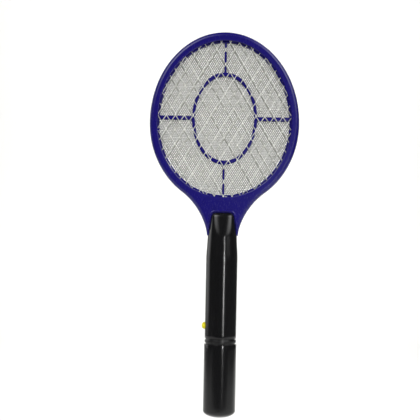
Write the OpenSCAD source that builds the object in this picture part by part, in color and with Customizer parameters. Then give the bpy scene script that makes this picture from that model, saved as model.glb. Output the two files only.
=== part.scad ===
// Racket-shaped electric fly swatter: a blue oval head that carries three wire grids on
// rib frames, and a black tubular handle with the high-voltage board, a side push button
// and a battery tray under a pull-off cover.
// Z runs along the handle with the head up, the front faces -Y and the button points to -X.
// The origin is the lowest point of the cover's domed end.

/* [Head] */
// Half width of the head
head_a = 97; // [95:0.5:99]
// Height of the head's widest line above the end of the handle
head_z = 382; // [380:1:384]
// Height of the head above its widest line
head_top = 118; // [115:1:120]
// Depth of the oval below its widest line
head_bottom = 108; // [107:0.5:109]
// Half thickness of the head
head_y = 10; // [9.8:0.1:11]
// Width of the rim around the opening
rim_w = 10.5; // [10.3:0.1:11]

/* [Ribs] */
// Half width of the inner oval rib, on its centre line
rib_a = 40.3; // [36:0.5:46]
// Half height of the inner oval rib, on its centre line
rib_b = 57.2; // [50:0.5:64]
// Height of the inner oval rib's centre and of the cross ribs
rib_z = 388; // [384:1:392]
// Width of the upright ribs
upright_w = 2.9; // [2:0.1:5]
// Width of the cross ribs
cross_w = 5.3; // [3:0.1:8]

/* [Grids] */
// Width of one opening of the outer grids
cell_w = 11.6; // [11:0.2:14]
// Height of one opening of the outer grids
cell_h = 19; // [18:0.5:24]
// Width of a strand of the outer grids
strand_w = 1.3; // [1:0.1:1.6]
// Thickness of the outer grids
sheet_t = 0.8; // [0.6:0.1:0.9]
// Spacing of the inner grid's wires, measured across the head
wire_pitch = 6; // [5:0.5:9]
// Radius of the inner grid's wires
wire_r = 0.45; // [0.3:0.05:0.5]

/* [Handle] */
// Outer radius of the handle
handle_r = 20.5; // [20.3:0.1:20.8]
// Outer radius of the handle where it meets the head
neck_r = 18.9; // [18.7:0.1:19.2]
// Wall thickness of the handle shells
wall = 2.2; // [2:0.1:2.3]
// Height of the tongue's top end
tongue_top = 266; // [262:1:268]
// Half width of the tongue at its top end
tongue_w = 13.8; // [12:0.2:14.5]

/* [Battery cover] */
// Outer radius of the battery cover
cover_r = 21; // [20.6:0.1:21.2]
// Height of the domed end
dome_h = 9; // [8:0.5:10]
// Height of the cover's open end
cover_top = 95.4; // [95.2:0.1:95.6]

/* [Button] */
// Height of the button's axis
button_z = 119; // [118.5:0.5:119.5]
// Radius of the button
button_r = 4.5; // [4:0.1:4.6]
// How far the button stands out of the handle
button_proud = 4; // [3:0.1:5]

/* [Hidden] */
$fn = 64;

blue = "#2a1f78";
black = "#16161a";
yellow = "#ffee00";
metal = "#c9c9c4";
steel = "#9a9a9c";

gap = 0.3;            // play between neighbouring pieces
hair = 0.05;          // running play and half the width of a parting line

// head
neck_z = 236;         // where the blue throat ends and the round handle begins
neck_w = 20.2;        // half width of the throat there
neck_y = 6;           // half thickness of the throat there
throat_drop = 90;     // the oval turns into the throat this far below the widest line
fillet_pull = [12, 17];    // how far the throat's curve follows the neck, then the oval
lip_y = head_y - 3;   // inner face of the lip that holds the grids in
pocket_d = rim_w - 2.8;    // the grids' pocket, as an inset from the outer edge
tab_w = 14.5;         // half width of the tab that the handle clamps
tab_y = 5.5;
tab_z = 218;
duct_w = 6;           // half width of the wire duct in the throat
duct_y = 4;           // its half depth
duct_step = 267;      // above this it is deeper and wider, for the grids' tabs
oval_steps = 96;
screw_d = 4.6;        // inset of the rim screws from the outer edge
rim_screw_angles = [0, 42, 74, 106, 138, 180, 222, 318];
rim_seat = head_y - 4;     // the rim screws' heads rest here
clearance_r = 0.25;   // a screw's hole beyond its thread, where it isn't cut

// grids and ribs, as distances from the head's middle plane
sheet_y = lip_y - 0.3;           // front face of the outer grid
rib_out = sheet_y - sheet_t - 0.3;
rib_in = 1.2;
hoop_show = 2.2;      // how far the rib frames' hoops reach into the opening
grid_d = pocket_d + gap;
wire_gap = 0.1;
slant = atan(cell_w / cell_h);   // the strands' angle from upright

rib_half = [1.95, 2.6];          // half the oval rib's width, at its sides and its ends
sheet_edge = 1.4;     // solid border of the outer grids
grid_tab = [2, 5];    // the grids' tabs in x; the inner grid's tab is on the other side
grid_tab_z = 275;     // lower end of the outer grids' tabs
inner_tab_z = 272;

// screws, as thread radius, head radius and head height
rim_screw_size = [1.05, 2, 1.7];
shell_screw_size = [1.2, 2.3, 1.9];
board_screw_size = [1, 2, 1.4];
tray_screw_size = [1.05, 2.1, 1.1];

// handle
shell_bottom = 103.2;
taper_z = 208;        // the handle is straight below this
bore_r = handle_r - wall;
tongue_t = 4.8;       // how far the tongue stands above the throat at its top end
tongue_corner = 5;    // its corners' radius
tongue_edge = [1.2, 1.5];  // depth and width of the slope along its edge
shell_screws = [[14, 135], [14, 195], [-14, 195]];
neck_screws = [[10, 227], [-10, 227]];
post_r = 3.8;
pilot_r = 1.25;
head_seat = 9;        // the screw heads rest this far behind the middle plane

// board
board_w = 9.8;        // half width
board_z = [114, 212];
board_y = [3, 4.6];
board_screw_at = [[-6.5, 131], [6.5, 206]];

// transformer
core_w = 8;           // half width of the core
core_z = [150, 166];
core_y = [-7.5, -2.5];
yoke = 3;             // height of the core above and below its windows
window_x = [2.4, 5.6];     // each window's two sides
window_z = [core_z[0] + yoke, core_z[1] - yoke];
cheek_t = 1;          // the bobbin's end plates
tube_t = 0.9;         // the bobbin's wall round the middle leg

// button and switch
flange_x = [-17, -15.6];
stem_end = -11.5;
guide_x = [-11.4, -10];
switch_x = [-8.5, -2];
plunger_r = 1.75;

// tray and cells
spigot_r = bore_r - 0.2;
flange_z = [97.6, 101];
flange_r = 20.3;
groove_r = 19;
tray_r = 17.6;
tray_z = [14, 112];
bay_z = [18, 79.2];   // the cells' bay
cell_x = 7.6;         // half the distance between the cells' axes
aa_r = 7.1;
aa_h = 49.2;
nub_h = 1.3;
plate_t = 0.4;
wire_room_z = 88;     // the tray is open above this, for the leads
wire_room_r = 15.2;
bridge_y = 4;         // half width of the bridge plate
tray_screw_z = 108;
tray_seat = 1.4;      // depth of the tray screw's seat below the shell's surface

// ---------------------------------------------------------------- functions

// A point of the head's oval, drawn in by d, at angle t
function oval_point(d, t) = [
  (head_a - d) * cos(t),
  head_z + (sin(t) >= 0 ? head_top - 1.1 * d : head_bottom - 1.16 * d) * sin(t)
];
function oval(d) = [for (i = [0 : oval_steps - 1]) oval_point(d, 360 * i / oval_steps)];

// The throat's left edge, from the oval (v = 0) down to the neck (v = 1)
throat_angle = asin(throat_drop / head_bottom);
throat_from = oval_point(0, 180 + throat_angle);
throat_slope = [
  pow(head_a / head_bottom, 2) * throat_drop / -throat_from[0], -1
];
throat_knots = [
  throat_from,
  throat_from + fillet_pull[1] * throat_slope,
  [-neck_w, neck_z + fillet_pull[0]],
  [-neck_w, neck_z]
];
function bezier(p, v) =
  pow(1 - v, 3) * p[0] + 3 * v * pow(1 - v, 2) * p[1]
  + 3 * v * v * (1 - v) * p[2] + pow(v, 3) * p[3];

// Stations round the ring: the angle in the opening, then the outer edge's point
upper_steps = 72;
throat_steps = 8;
upper_sweep = 180 + 2 * throat_angle;
lower_sweep = 180 - 2 * throat_angle;
stations = concat(
  [for (i = [0 : upper_steps])
    let (t = i * upper_sweep / upper_steps - throat_angle) [t, oval_point(0, t)]],
  [for (i = [1 : throat_steps])
    [180 + throat_angle + 0.42 * lower_sweep * i / throat_steps,
     bezier(throat_knots, i / throat_steps)]],
  [[270, [0, neck_z]]],
  [for (i = [throat_steps : -1 : 1])
    let (p = bezier(throat_knots, i / throat_steps))
    [360 - throat_angle - 0.42 * lower_sweep * i / throat_steps, [-p[0], p[1]]]]
);
station_count = len(stations);
function outer(k) = stations[(k + station_count) % station_count][1];
function inward(k) =
  let (along = outer(k + 1) - outer(k - 1)) [-along[1], along[0]] / norm(along);

// Thickness of the throat relative to the head, thinner towards the neck
throat_top = head_z - head_bottom + 1.16 * rim_w;
function throat_y(z) =
  neck_y + (head_y - neck_y) * min(1, max(0, (z - neck_z) / (throat_top - neck_z)));

// The ring's section: insets from the outer edge, then distances out from the opening
outer_section = [[0, 0], [0, 0.4], [0.35, 0.62], [1.3, 0.83], [2.6, 0.95], [4.2, 1]];
inner_section = [[1.8, 1], [0.5, 0.93], [0, 0.8], [0, 0.7], [2.8, 0.7], [2.8, 0]];
function section_ring(k) = concat(
  [for (s = outer_section)
    let (p = outer(k) + s[0] * inward(k)) [p[0], -s[1] * throat_y(p[1]), p[1]]],
  [for (s = inner_section)
    let (p = oval_point(rim_w - s[0], stations[k][0])) [p[0], -s[1] * head_y, p[1]]]
);

// Ends of the inner grid's wire number i; slope is the run across per unit of height
wire_a = head_a - rim_w - 0.2;
wire_b = (head_top + head_bottom) / 2 - 1.13 * rim_w;
wire_mid = head_z + (head_top - head_bottom) / 2;
function wire_ends(i, side) =
  let (
    m = side * tan(slant) * wire_b / wire_a,
    c = i * wire_pitch / wire_a,
    q = 1 + m * m,
    root = sqrt(max(0, q - c * c))
  )
  [for (s = [-1, 1])
    let (h = (-m * c + s * root) / q) [wire_a * (c + m * h), wire_mid + wire_b * h]];
wire_reach = floor(sqrt(1 + pow(tan(slant) * wire_b / wire_a, 2)) * wire_a / wire_pitch - 0.6);

// Places of the rim screws
function rim_screw(t) = oval_point(screw_d, t);

// ---------------------------------------------------------------- shared shapes

// A flat drawing in x and z made solid from y0 to y1
module slab(y0, y1) {
  translate([0, y1, 0])
    rotate([90, 0, 0])
      linear_extrude(y1 - y0)
        children();
}

module box(x, y, z) {
  translate([x[0], y[0], z[0]])
    cube([x[1] - x[0], y[1] - y[0], z[1] - z[0]]);
}

// A round bar along Y at x, z
module bar_y(x, z, y0, y1, r) {
  translate([x, y0, z])
    rotate([-90, 0, 0])
      cylinder(h = y1 - y0, r = r);
}

// A round bar along X on the button's axis
module bar_x(x0, x1, r) {
  translate([x0, 0, button_z])
    rotate([0, 90, 0])
      cylinder(h = x1 - x0, r = r);
}

module ellipse_2d(a, b) {
  polygon([for (i = [0 : oval_steps - 1])
    let (t = 360 * i / oval_steps) [a * cos(t), b * sin(t)]]);
}

// A tube swept along points p, with flat ends
module swept(p, r, sides) {
  last = len(p) - 1;
  rings = [for (i = [0 : last])
    let (
      along = p[min(i + 1, last)] - p[max(i - 1, 0)],
      w = along / norm(along),
      side = abs(w[1]) < 0.9 ? [0, 1, 0] : [1, 0, 0],
      u = cross(side, w) / norm(cross(side, w)),
      v = cross(w, u)
    )
    for (j = [0 : sides - 1]) p[i] + r * (cos(360 * j / sides) * u + sin(360 * j / sides) * v)];
  polyhedron(
    points = rings,
    faces = concat(
      [[for (j = [0 : sides - 1]) j]],
      [for (i = [0 : last - 1]) for (j = [0 : sides - 1])
        let (a = i * sides + j, b = i * sides + (j + 1) % sides) each
        [[a, a + sides, b + sides], [a, b + sides, b]]],
      [[for (j = [sides - 1 : -1 : 0]) last * sides + j]]
    )
  );
}

// A wire along a smooth curve through points p
function smooth(p, steps) = concat(
  [for (i = [0 : len(p) - 2]) for (s = [0 : steps - 1])
    let (
      a = p[max(i - 1, 0)], b = p[i], c = p[i + 1], d = p[min(i + 2, len(p) - 1)],
      t = s / steps
    )
    (2 * b + (c - a) * t + (2 * a - 5 * b + 4 * c - d) * t * t
      + (3 * b - a - 3 * c + d) * t * t * t) / 2],
  [p[len(p) - 1]]
);

// A coil spring along Z, from r0 at the bottom to r1 at the top
module coil(r0, r1, h, turns, wire) {
  steps = turns * 14;
  swept(
    [for (i = [0 : steps])
      let (f = i / steps, t = 360 * turns * f, r = r0 + (r1 - r0) * f)
      [r * cos(t), r * sin(t), wire + (h - 2 * wire) * f]],
    wire, 6
  );
}

// A round-headed self-tapping screw along -Y, with its head's seat at y
module screw(x, z, y, length, size) {
  head_r = size[1];
  head_h = size[2];
  bar_y(x, z, y - length, y + hair, size[0]);
  difference() {
    bar_y(x, z, y, y + head_h, head_r);
    for (turn = [0, 90])
      translate([x, y + head_h, z])
        rotate([0, turn, 0])
          cube([1.1 * head_r, 0.6 * head_h, 0.28 * head_r], center = true);
  }
}

// ---------------------------------------------------------------- head

module half_ring() {
  difference() {
    union() {
      ring_body();
      box([-tab_w, tab_w], [-tab_y, 0], [tab_z, neck_z + 10]);
    }
    box([-duct_w, duct_w], [-duct_y, 1], [tab_z - 1, duct_step + 5]);
    box([-duct_w - 2, duct_w + 2], [-lip_y, 1], [duct_step, throat_top - 2]);
    for (p = neck_screws)
      bar_y(p[0], p[1], -head_y, 1, pilot_r + 0.3);
  }
}

module ring_body() {
  per = len(outer_section) + len(inner_section);
  total = station_count * per;
  polyhedron(
    points = [for (k = [0 : station_count - 1]) each section_ring(k)],
    faces = [for (k = [0 : station_count - 1]) for (j = [0 : per - 1])
      let (
        a = k * per + j,
        b = k * per + (j + 1) % per,
        c = (a + per) % total,
        d = (b + per) % total
      ) each
      [[a, b, d], [a, d, c]]]
  );
}

module front_ring() {
  color(blue)
    difference() {
      half_ring();
      for (t = rim_screw_angles)
        bar_y(rim_screw(t)[0], rim_screw(t)[1], -lip_y, 1, rim_screw_size[0] + hair);
    }
}

module back_ring() {
  color(blue)
    difference() {
      mirror([0, 1, 0]) half_ring();
      for (t = rim_screw_angles) {
        bar_y(rim_screw(t)[0], rim_screw(t)[1], -1, head_y, rim_screw_size[0] + clearance_r);
        bar_y(rim_screw(t)[0], rim_screw(t)[1], rim_seat, head_y + 1, rim_screw_size[1] + 0.2);
      }
    }
}

module rib_drawing() {
  difference() {
    polygon(oval(grid_d));
    polygon(oval(rim_w + hoop_show));
  }
  difference() {
    union() {
      translate([0, rib_z]) ellipse_2d(rib_a + rib_half[0], rib_b + rib_half[1]);
      translate([-upright_w / 2, throat_top - 1])
        square([upright_w, head_z + head_top - throat_top - rim_w]);
      translate([rim_w - head_a - 1, rib_z - cross_w / 2])
        square([2 * (head_a - rim_w + 1), cross_w]);
    }
    translate([0, rib_z]) ellipse_2d(rib_a - rib_half[0], rib_b - rib_half[1]);
  }
}

module front_rib_frame() {
  color(blue) slab(-rib_out, -rib_in) rib_drawing();
}

module back_rib_frame() {
  color(blue) slab(rib_in, rib_out) rib_drawing();
}

// An expanded sheet: a plate with lozenge openings, and a tab for the lead
module sheet_drawing() {
  half_w = (cell_w - strand_w / cos(slant)) / 2;
  half_h = half_w * cell_h / cell_w;
  columns = ceil(head_a / cell_w) + 1;
  rows = ceil(head_top / cell_h) + 1;
  difference() {
    polygon(oval(grid_d));
    intersection() {
      polygon(oval(grid_d + sheet_edge));
      union()
        for (i = [-columns : columns], j = [-2 * rows : 2 * rows])
          if (norm([i * cell_w / (head_a - 4), (j * cell_h / 2 - 4) / (head_top - 4)]) < 1)
            translate([(i + (j % 2 == 0 ? 0 : 0.5)) * cell_w, head_z + j * cell_h / 2])
              polygon([[half_w, 0], [0, half_h], [-half_w, 0], [0, -half_h]]);
    }
  }
  translate([grid_tab[0], grid_tab_z])
    square([grid_tab[1] - grid_tab[0], throat_top - grid_tab_z - 1.5]);
}

module front_grid() {
  color(metal) slab(-sheet_y, sheet_t - sheet_y) sheet_drawing();
}

module back_grid() {
  color(metal) slab(sheet_y - sheet_t, sheet_y) sheet_drawing();
}

module inner_grid() {
  color(metal)
    for (side = [-1, 1], i = [-wire_reach : wire_reach]) {
      ends = wire_ends(i, side);
      run = ends[1] - ends[0];
      translate([ends[0][0], side * (wire_r + wire_gap / 2), ends[0][1]])
        rotate([0, atan2(run[0], run[1]), 0])
          cylinder(h = norm(run), r = wire_r, $fn = 16);
    }
}

module inner_grid_tab() {
  color(metal) box([-grid_tab[1], -grid_tab[0]], [-0.3, 0.3], [inner_tab_z, throat_top - 3]);
}

module head_screws() {
  color(steel)
    for (t = rim_screw_angles)
      screw(rim_screw(t)[0], rim_screw(t)[1], rim_seat, 11, rim_screw_size);
}

// ---------------------------------------------------------------- handle

// The round handle drawn in by d
module handle_solid(d) {
  translate([0, 0, shell_bottom])
    cylinder(h = taper_z - shell_bottom, r = handle_r - d);
  translate([0, 0, taper_z])
    cylinder(h = neck_z - 0.2 - taper_z, r1 = handle_r - d, r2 = neck_r - d);
}

// The tongue that laps over the throat, as a blend from the round neck to a rounded tab
module tongue() {
  top_y = throat_y(tongue_top) + tongue_t;
  difference() {
    hull() {
      intersection() {
        translate([0, 0, neck_z - 3.2])
          cylinder(h = 3, r = neck_r, $fn = 48);
        box([-neck_r, neck_r], [-neck_r, -hair], [neck_z - 4, neck_z]);
      }
      for (side = [-1, 1])
        for (edge = [[0, tongue_edge[0]], [tongue_edge[1], 0]])
          translate([
            side * (tongue_w - tongue_corner - edge[0]), 0, tongue_top - tongue_corner - edge[0]
          ])
            rotate([90, 0, 0])
              cylinder(h = top_y - edge[1], r = tongue_corner, $fn = 32);
    }
    rotate([90, 0, 90])
      translate([0, 0, -neck_r - 1])
        linear_extrude(2 * neck_r + 2)
          polygon([
            [1, neck_z - 0.2],
            [-neck_y - gap, neck_z - 0.2],
            [-throat_y(throat_top) - gap, throat_top],
            [1, throat_top]
          ]);
    translate([0, 0, neck_z - 4])
      cylinder(h = 3.8, r = neck_r - wall);
  }
}

// The front shell's half of the walls and tongue; the back shell is its mirror image
module half_shell() {
  difference() {
    union() {
      intersection() {
        handle_solid(0);
        box([-handle_r, handle_r], [-handle_r, -hair], [shell_bottom, neck_z]);
      }
      tongue();
    }
    translate([0, 0, -hair]) handle_solid(wall);
    translate([0, 0, shell_bottom - 1]) cylinder(h = 2, r = bore_r);
    translate([0, 0, neck_z - 2]) cylinder(h = 1.8, r = neck_r - wall);
    bar_x(-handle_r - 1, -handle_r + wall + 1, button_r + gap);
  }
  for (x = [guide_x[0] - 0.9, guide_x[1] + 0.1])
    intersection() {
      box([x, x + 0.8], [-bore_r, -12], [button_z - 6, button_z + 6]);
      translate([0, 0, button_z - 6])
        cylinder(h = 12, r = bore_r + 0.5);
    }
}

// A screw post from y to the shell's wall, on the front side
module post(x, z, y, r) {
  intersection() {
    bar_y(x, z, -handle_r, -y, r);
    translate([0, 0, -hair]) handle_solid(wall / 2);
  }
}

module handle_front_shell() {
  color(black)
    difference() {
      union() {
        half_shell();
        for (p = shell_screws) post(p[0], p[1], hair, 2.8);
        for (p = neck_screws) post(p[0], p[1], tab_y + 0.1, 2.8);
      }
      for (p = shell_screws) bar_y(p[0], p[1], -9, 1, pilot_r);
      for (p = neck_screws) bar_y(p[0], p[1], -11, 1, pilot_r);
    }
}

module handle_back_shell() {
  color(black)
    difference() {
      mirror([0, 1, 0]) {
        difference() {
          half_shell();
          bar_y(0, tray_screw_z, -handle_r - 1, -bore_r + 4, tray_screw_size[0] + 0.35);
          bar_y(0, tray_screw_z, -handle_r - 1, tray_seat - handle_r, tray_screw_size[1] + 0.3);
        }
        for (p = shell_screws) post(p[0], p[1], hair, post_r);
        for (p = neck_screws) post(p[0], p[1], tab_y + 0.1, post_r);
        for (p = board_screw_at) post(p[0], p[1], board_y[1] + hair, 2.6);
      }
      for (p = concat(shell_screws, neck_screws)) {
        bar_y(p[0], p[1], -1, handle_r, shell_screw_size[0] + clearance_r);
        bar_y(p[0], p[1], head_seat, handle_r + 1, shell_screw_size[1] + 0.3);
      }
      for (p = board_screw_at) bar_y(p[0], p[1], 0, 12, board_screw_size[0] + hair);
    }
}

module handle_screws() {
  color(steel) {
    for (p = shell_screws) screw(p[0], p[1], head_seat, 17, shell_screw_size);
    for (p = neck_screws) screw(p[0], p[1], head_seat, 19, shell_screw_size);
  }
}

// ---------------------------------------------------------------- electronics

module circuit_board() {
  color("#b98b4e")
    difference() {
      box([-board_w, board_w], board_y, board_z);
      for (p = board_screw_at) bar_y(p[0], p[1], 0, 6, board_screw_size[0] + 0.2);
    }
}

module board_screws() {
  color(steel)
    for (p = board_screw_at)
      mirror([0, 1, 0])
        screw(p[0], p[1], -board_y[0] + hair, 7, board_screw_size);
}

module transformer_core() {
  color("#3a3a3c")
    difference() {
      box([-core_w, core_w], core_y, core_z);
      for (side = [0, 1])
        mirror([side, 0, 0])
          box(window_x, [core_y[0] - 1, core_y[1] + 1], window_z);
    }
}

// A rectangular tube or plug round the core's middle leg, d away from it
module round_leg(d, z) {
  box([-window_x[0] - d, window_x[0] + d], [core_y[0] - d, core_y[1] + d], z);
}

module transformer_bobbin() {
  color("#d8d2c0")
    difference() {
      union() {
        for (z = [window_z[0] + 0.1, window_z[1] - 0.1 - cheek_t])
          box([-5.5, 5.5], [core_y[0] - 3, board_y[0] - hair], [z, z + cheek_t]);
        round_leg(tube_t, [window_z[0] + 0.1, window_z[1] - 0.1]);
      }
      round_leg(0.1, core_z);
    }
}

module transformer_winding() {
  color("#c9a227")
    difference() {
      box(
        [-5.2, 5.2], [core_y[0] - 2.6, core_y[1] + 2.6],
        [window_z[0] + 0.2 + cheek_t, window_z[1] - 0.2 - cheek_t]
      );
      round_leg(tube_t + 0.1, core_z);
    }
}

// A dipped block with round ends, standing on the board
module dipped(x, z, w, h, t) {
  slab(board_y[0] - 0.4 - t, board_y[0] - 0.4)
    hull()
      for (side = [-1, 1])
        translate([x + side * (w - h) / 2, z])
          circle(d = h, $fn = 32);
}

module hv_capacitor() {
  color("#8c2f1c") dipped(0, 184, 17, 11, 7);
}

module multiplier_capacitors() {
  color("#2c5fa8")
    for (x = [-4.8, 4.8])
      bar_y(x, 172, board_y[0] - 3.6, board_y[0] - 0.4, 3.4);
}

module transistor() {
  color("#202022")
    difference() {
      bar_y(-4.5, 140, board_y[0] - 6, board_y[0] - 1, 2.4);
      box([-8, -1], [-5, board_y[0]], [141.4, 144]);
    }
}

module rectifier_diodes() {
  color("#202022")
    for (x = [-5, 0, 5])
      translate([x, board_y[0] - 1.7, 194.5])
        cylinder(h = 5.2, r = 1.35);
}

module resistors() {
  color("#caa472")
    for (x = [2.5, 6.5])
      translate([x, board_y[0] - 1.5, 137])
        cylinder(h = 6.3, r = 1.15);
}

// ---------------------------------------------------------------- button

module switch_body() {
  color("#202022")
    difference() {
      box(switch_x, [-3.5, board_y[0] - hair], [button_z - 3.5, button_z + 3.5]);
      bar_x(switch_x[0] - 1, switch_x[0] + 5, plunger_r + hair);
    }
}

module switch_plunger() {
  color("#e8e4da") bar_x(stem_end + hair, switch_x[0] + 2.2, plunger_r);
}

// A cap with a rounded end, a flange inside the shell and a stem through the spring
module push_button() {
  tip = handle_r + button_proud;
  round_r = 3.2;
  color(yellow)
    translate([0, 0, button_z])
      rotate([0, -90, 0])
        rotate_extrude()
          polygon(concat(
            [[0, -stem_end], [2, -stem_end], [2, -flange_x[1]], [6.5, -flange_x[1]],
             [6.5, -flange_x[0]], [button_r, -flange_x[0]]],
            [for (t = [0 : 15 : 75])
              [button_r - round_r + round_r * cos(t), tip - 0.8 * round_r * (1 - sin(t))]],
            [[button_r - round_r, tip - 0.02], [0, tip]]
          ));
}

module button_guide() {
  color("#4a4a4e")
    difference() {
      box(guide_x, [-14.2, 14.2], [112.4, 127]);
      bar_x(guide_x[0] - 1, guide_x[1] + 1, 2 + gap);
    }
}

module button_spring() {
  color(steel)
    translate([guide_x[0] - 0.05, 0, button_z])
      rotate([0, -90, 0])
        coil(3.2, 3.2, guide_x[0] - flange_x[1] - 0.1, 3.5, 0.3);
}

// ---------------------------------------------------------------- battery compartment

module battery_tray() {
  color(black)
    difference() {
      union() {
        translate([0, 0, tray_z[0]]) cylinder(h = bay_z[0] - tray_z[0], r = tray_r);
        intersection() {
          translate([0, 0, tray_z[0]]) cylinder(h = 70, r = tray_r);
          box([-tray_r, tray_r], [1, tray_r], [tray_z[0], 84]);
        }
        translate([0, 0, bay_z[1]]) cylinder(h = tray_z[1] - bay_z[1], r = spigot_r);
        translate([0, 0, cover_top]) cylinder(h = shell_bottom - cover_top, r = groove_r);
        translate([0, 0, flange_z[0]]) cylinder(h = flange_z[1] - flange_z[0], r = flange_r);
      }
      for (side = [-1, 1])
        translate([side * cell_x, 0, bay_z[0]])
          cylinder(h = bay_z[1] - bay_z[0], r = aa_r + gap);
      box(
        [-cell_x, cell_x], [-bridge_y - gap, bridge_y + gap],
        [bay_z[0], bay_z[0] + 2 * plate_t]
      );
      difference() {
        translate([0, 0, wire_room_z]) cylinder(h = 30, r = wire_room_r);
        box([-4, 4], [8, 18], [tray_screw_z - 5, tray_screw_z + 5]);
      }
      bar_y(0, tray_screw_z, 10, 20, tray_screw_size[0] + hair);
      for (side = [-1, 1])
        box([side * cell_x - 1.4, side * cell_x + 1.4], [4.3, 5.5], [bay_z[1] - 1, wire_room_z + 2]);
    }
}

module tray_screw() {
  color(steel) screw(0, tray_screw_z, handle_r - tray_seat + hair, 8, tray_screw_size);
}

// A contact plate against the bay's top wall, with a solder tab through it
module top_contact(x) {
  box([x - 4.5, x + 4.5], [-4.5, 5.1], [bay_z[1] - 0.1 - plate_t, bay_z[1] - 0.1]);
  box([x - 1, x + 1], [5.1 - plate_t, 5.1], [bay_z[1] - 0.2, 91]);
}

module positive_contact() {
  color(metal) top_contact(-cell_x);
}

module negative_contact() {
  color(metal) {
    top_contact(cell_x);
    translate([cell_x, 0, bay_z[1] - 0.6 - plate_t])
      mirror([0, 0, 1])
        coil(4.4, 3, bay_z[1] - 1 - plate_t - (bay_z[0] + 0.6 + aa_h + nub_h) + 0.2, 4, 0.4);
  }
}

module bridge_contact() {
  color(metal) {
    box([-cell_x - 5, cell_x + 5], [-bridge_y, bridge_y], [bay_z[0] + 0.1, bay_z[0] + 0.1 + plate_t]);
    translate([-cell_x, 0, bay_z[0] + 0.15 + plate_t])
      coil(4.4, 3, cell_1_z - bay_z[0] - 0.25 - plate_t, 4, 0.4);
  }
}

cell_1_z = bay_z[1] - plate_t - 0.2 - aa_h - nub_h;  // underside of the first cell
cell_2_z = bay_z[0] + plate_t + 0.2;                 // underside of the second, which is upside down

module aa_cell() {
  cylinder(h = aa_h, r = aa_r);
  translate([0, 0, aa_h - 1]) cylinder(h = nub_h + 1, r = 2.75);
}

module battery_1() {
  color("#c98b2b") translate([-cell_x, 0, cell_1_z]) aa_cell();
}

module battery_2() {
  color("#c98b2b")
    translate([cell_x, 0, cell_2_z + aa_h + nub_h])
      mirror([0, 0, 1]) aa_cell();
}

// Leads: hand-set points, smoothed
lead_r = 0.8;
lead_top = board_z[0] - 0.3;
battery_route = [
  [-7.6, 4.9, 91.1], [-7.8, 6.4, 96], [-8.4, 7, 102], [-7.8, 5.4, 108], [-7.4, 3.8, lead_top]
];
hv_route = [
  [-5, 3.8, 212.1], [-4.8, 2.6, 220], [-4, 0.8, 232], [-3, -0.6, 248], [-3.4, 0, 262], [-3.5, 0, 271.9]
];
ground_route = [
  [5, 3.8, 212.1], [4.8, 2.6, 220], [4, 1, 232], [3, -0.4, 248], [3.4, 0.8, 259], [3.5, 2.4, 266.4],
  [3.5, 4.8, 270.6], [3.5, 6.1, 274.8]
];
link_route = [
  [3.5, 4.8, 278], [3.5, 3, 274.6], [3.5, 0, 273.2], [3.5, -3, 274.6], [3.5, -4.8, 278]
];

module battery_lead_positive() {
  color("#c22318") swept(smooth(battery_route, 5), lead_r, 8);
}

module battery_lead_negative() {
  color("#1d1d20") mirror([1, 0, 0]) swept(smooth(battery_route, 5), lead_r, 8);
}

module hv_lead() {
  color("#c22318") swept(smooth(hv_route, 5), lead_r, 8);
}

module ground_lead() {
  color("#1d1d20") swept(smooth(ground_route, 5), lead_r, 8);
}

module grid_link_lead() {
  color("#1d1d20") swept(smooth(link_route, 5), lead_r, 8);
}

// A deep cup with a domed end
module battery_cover() {
  color(black)
    rotate_extrude($fn = 96)
      polygon(concat(
        [for (t = [0 : 10 : 90]) [cover_r * sin(t), dome_h - dome_h * cos(t)]],
        [[cover_r, cover_top], [spigot_r + gap, cover_top]],
        [for (t = [90 : -10 : 0])
          [(spigot_r + gap) * sin(t), dome_h + 0.4 - (dome_h - 2) * cos(t)]]
      ));
}

front_ring();
back_ring();
front_rib_frame();
back_rib_frame();
front_grid();
back_grid();
inner_grid();
inner_grid_tab();
head_screws();
handle_front_shell();
handle_back_shell();
handle_screws();
circuit_board();
board_screws();
transformer_core();
transformer_bobbin();
transformer_winding();
hv_capacitor();
multiplier_capacitors();
transistor();
rectifier_diodes();
resistors();
switch_body();
switch_plunger();
push_button();
button_guide();
button_spring();
battery_tray();
tray_screw();
positive_contact();
negative_contact();
bridge_contact();
battery_1();
battery_2();
battery_lead_positive();
battery_lead_negative();
hv_lead();
ground_lead();
grid_link_lead();
battery_cover();
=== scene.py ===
"""Electric fly swatter: a blue oval head with three metal grids, a black handle and a yellow button."""

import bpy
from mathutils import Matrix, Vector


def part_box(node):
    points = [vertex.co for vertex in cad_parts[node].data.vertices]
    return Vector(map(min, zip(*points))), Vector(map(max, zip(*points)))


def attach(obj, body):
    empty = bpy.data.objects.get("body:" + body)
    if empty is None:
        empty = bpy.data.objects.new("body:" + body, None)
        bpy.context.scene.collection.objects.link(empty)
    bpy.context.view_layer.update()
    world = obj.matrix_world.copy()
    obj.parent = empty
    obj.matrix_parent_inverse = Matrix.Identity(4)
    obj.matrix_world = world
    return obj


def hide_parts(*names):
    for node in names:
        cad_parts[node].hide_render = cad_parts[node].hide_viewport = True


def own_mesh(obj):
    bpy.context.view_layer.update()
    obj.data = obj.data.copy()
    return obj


bl_info = {
    "name": "Electric Fly Swatter",
    "version": (1, 0, 0),
    "blender": (4, 5, 0),
    "location": "3D View > Sidebar > Fly Swatter",
    "description": "Builds the swatter's head, grids, handle, cover and inner parts round its frame",
    "category": "Add Mesh",
}

import math
import random

import bmesh
import bpy
from bpy.props import FloatProperty, FloatVectorProperty, PointerProperty
from mathutils import Euler, Matrix, Vector

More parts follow.
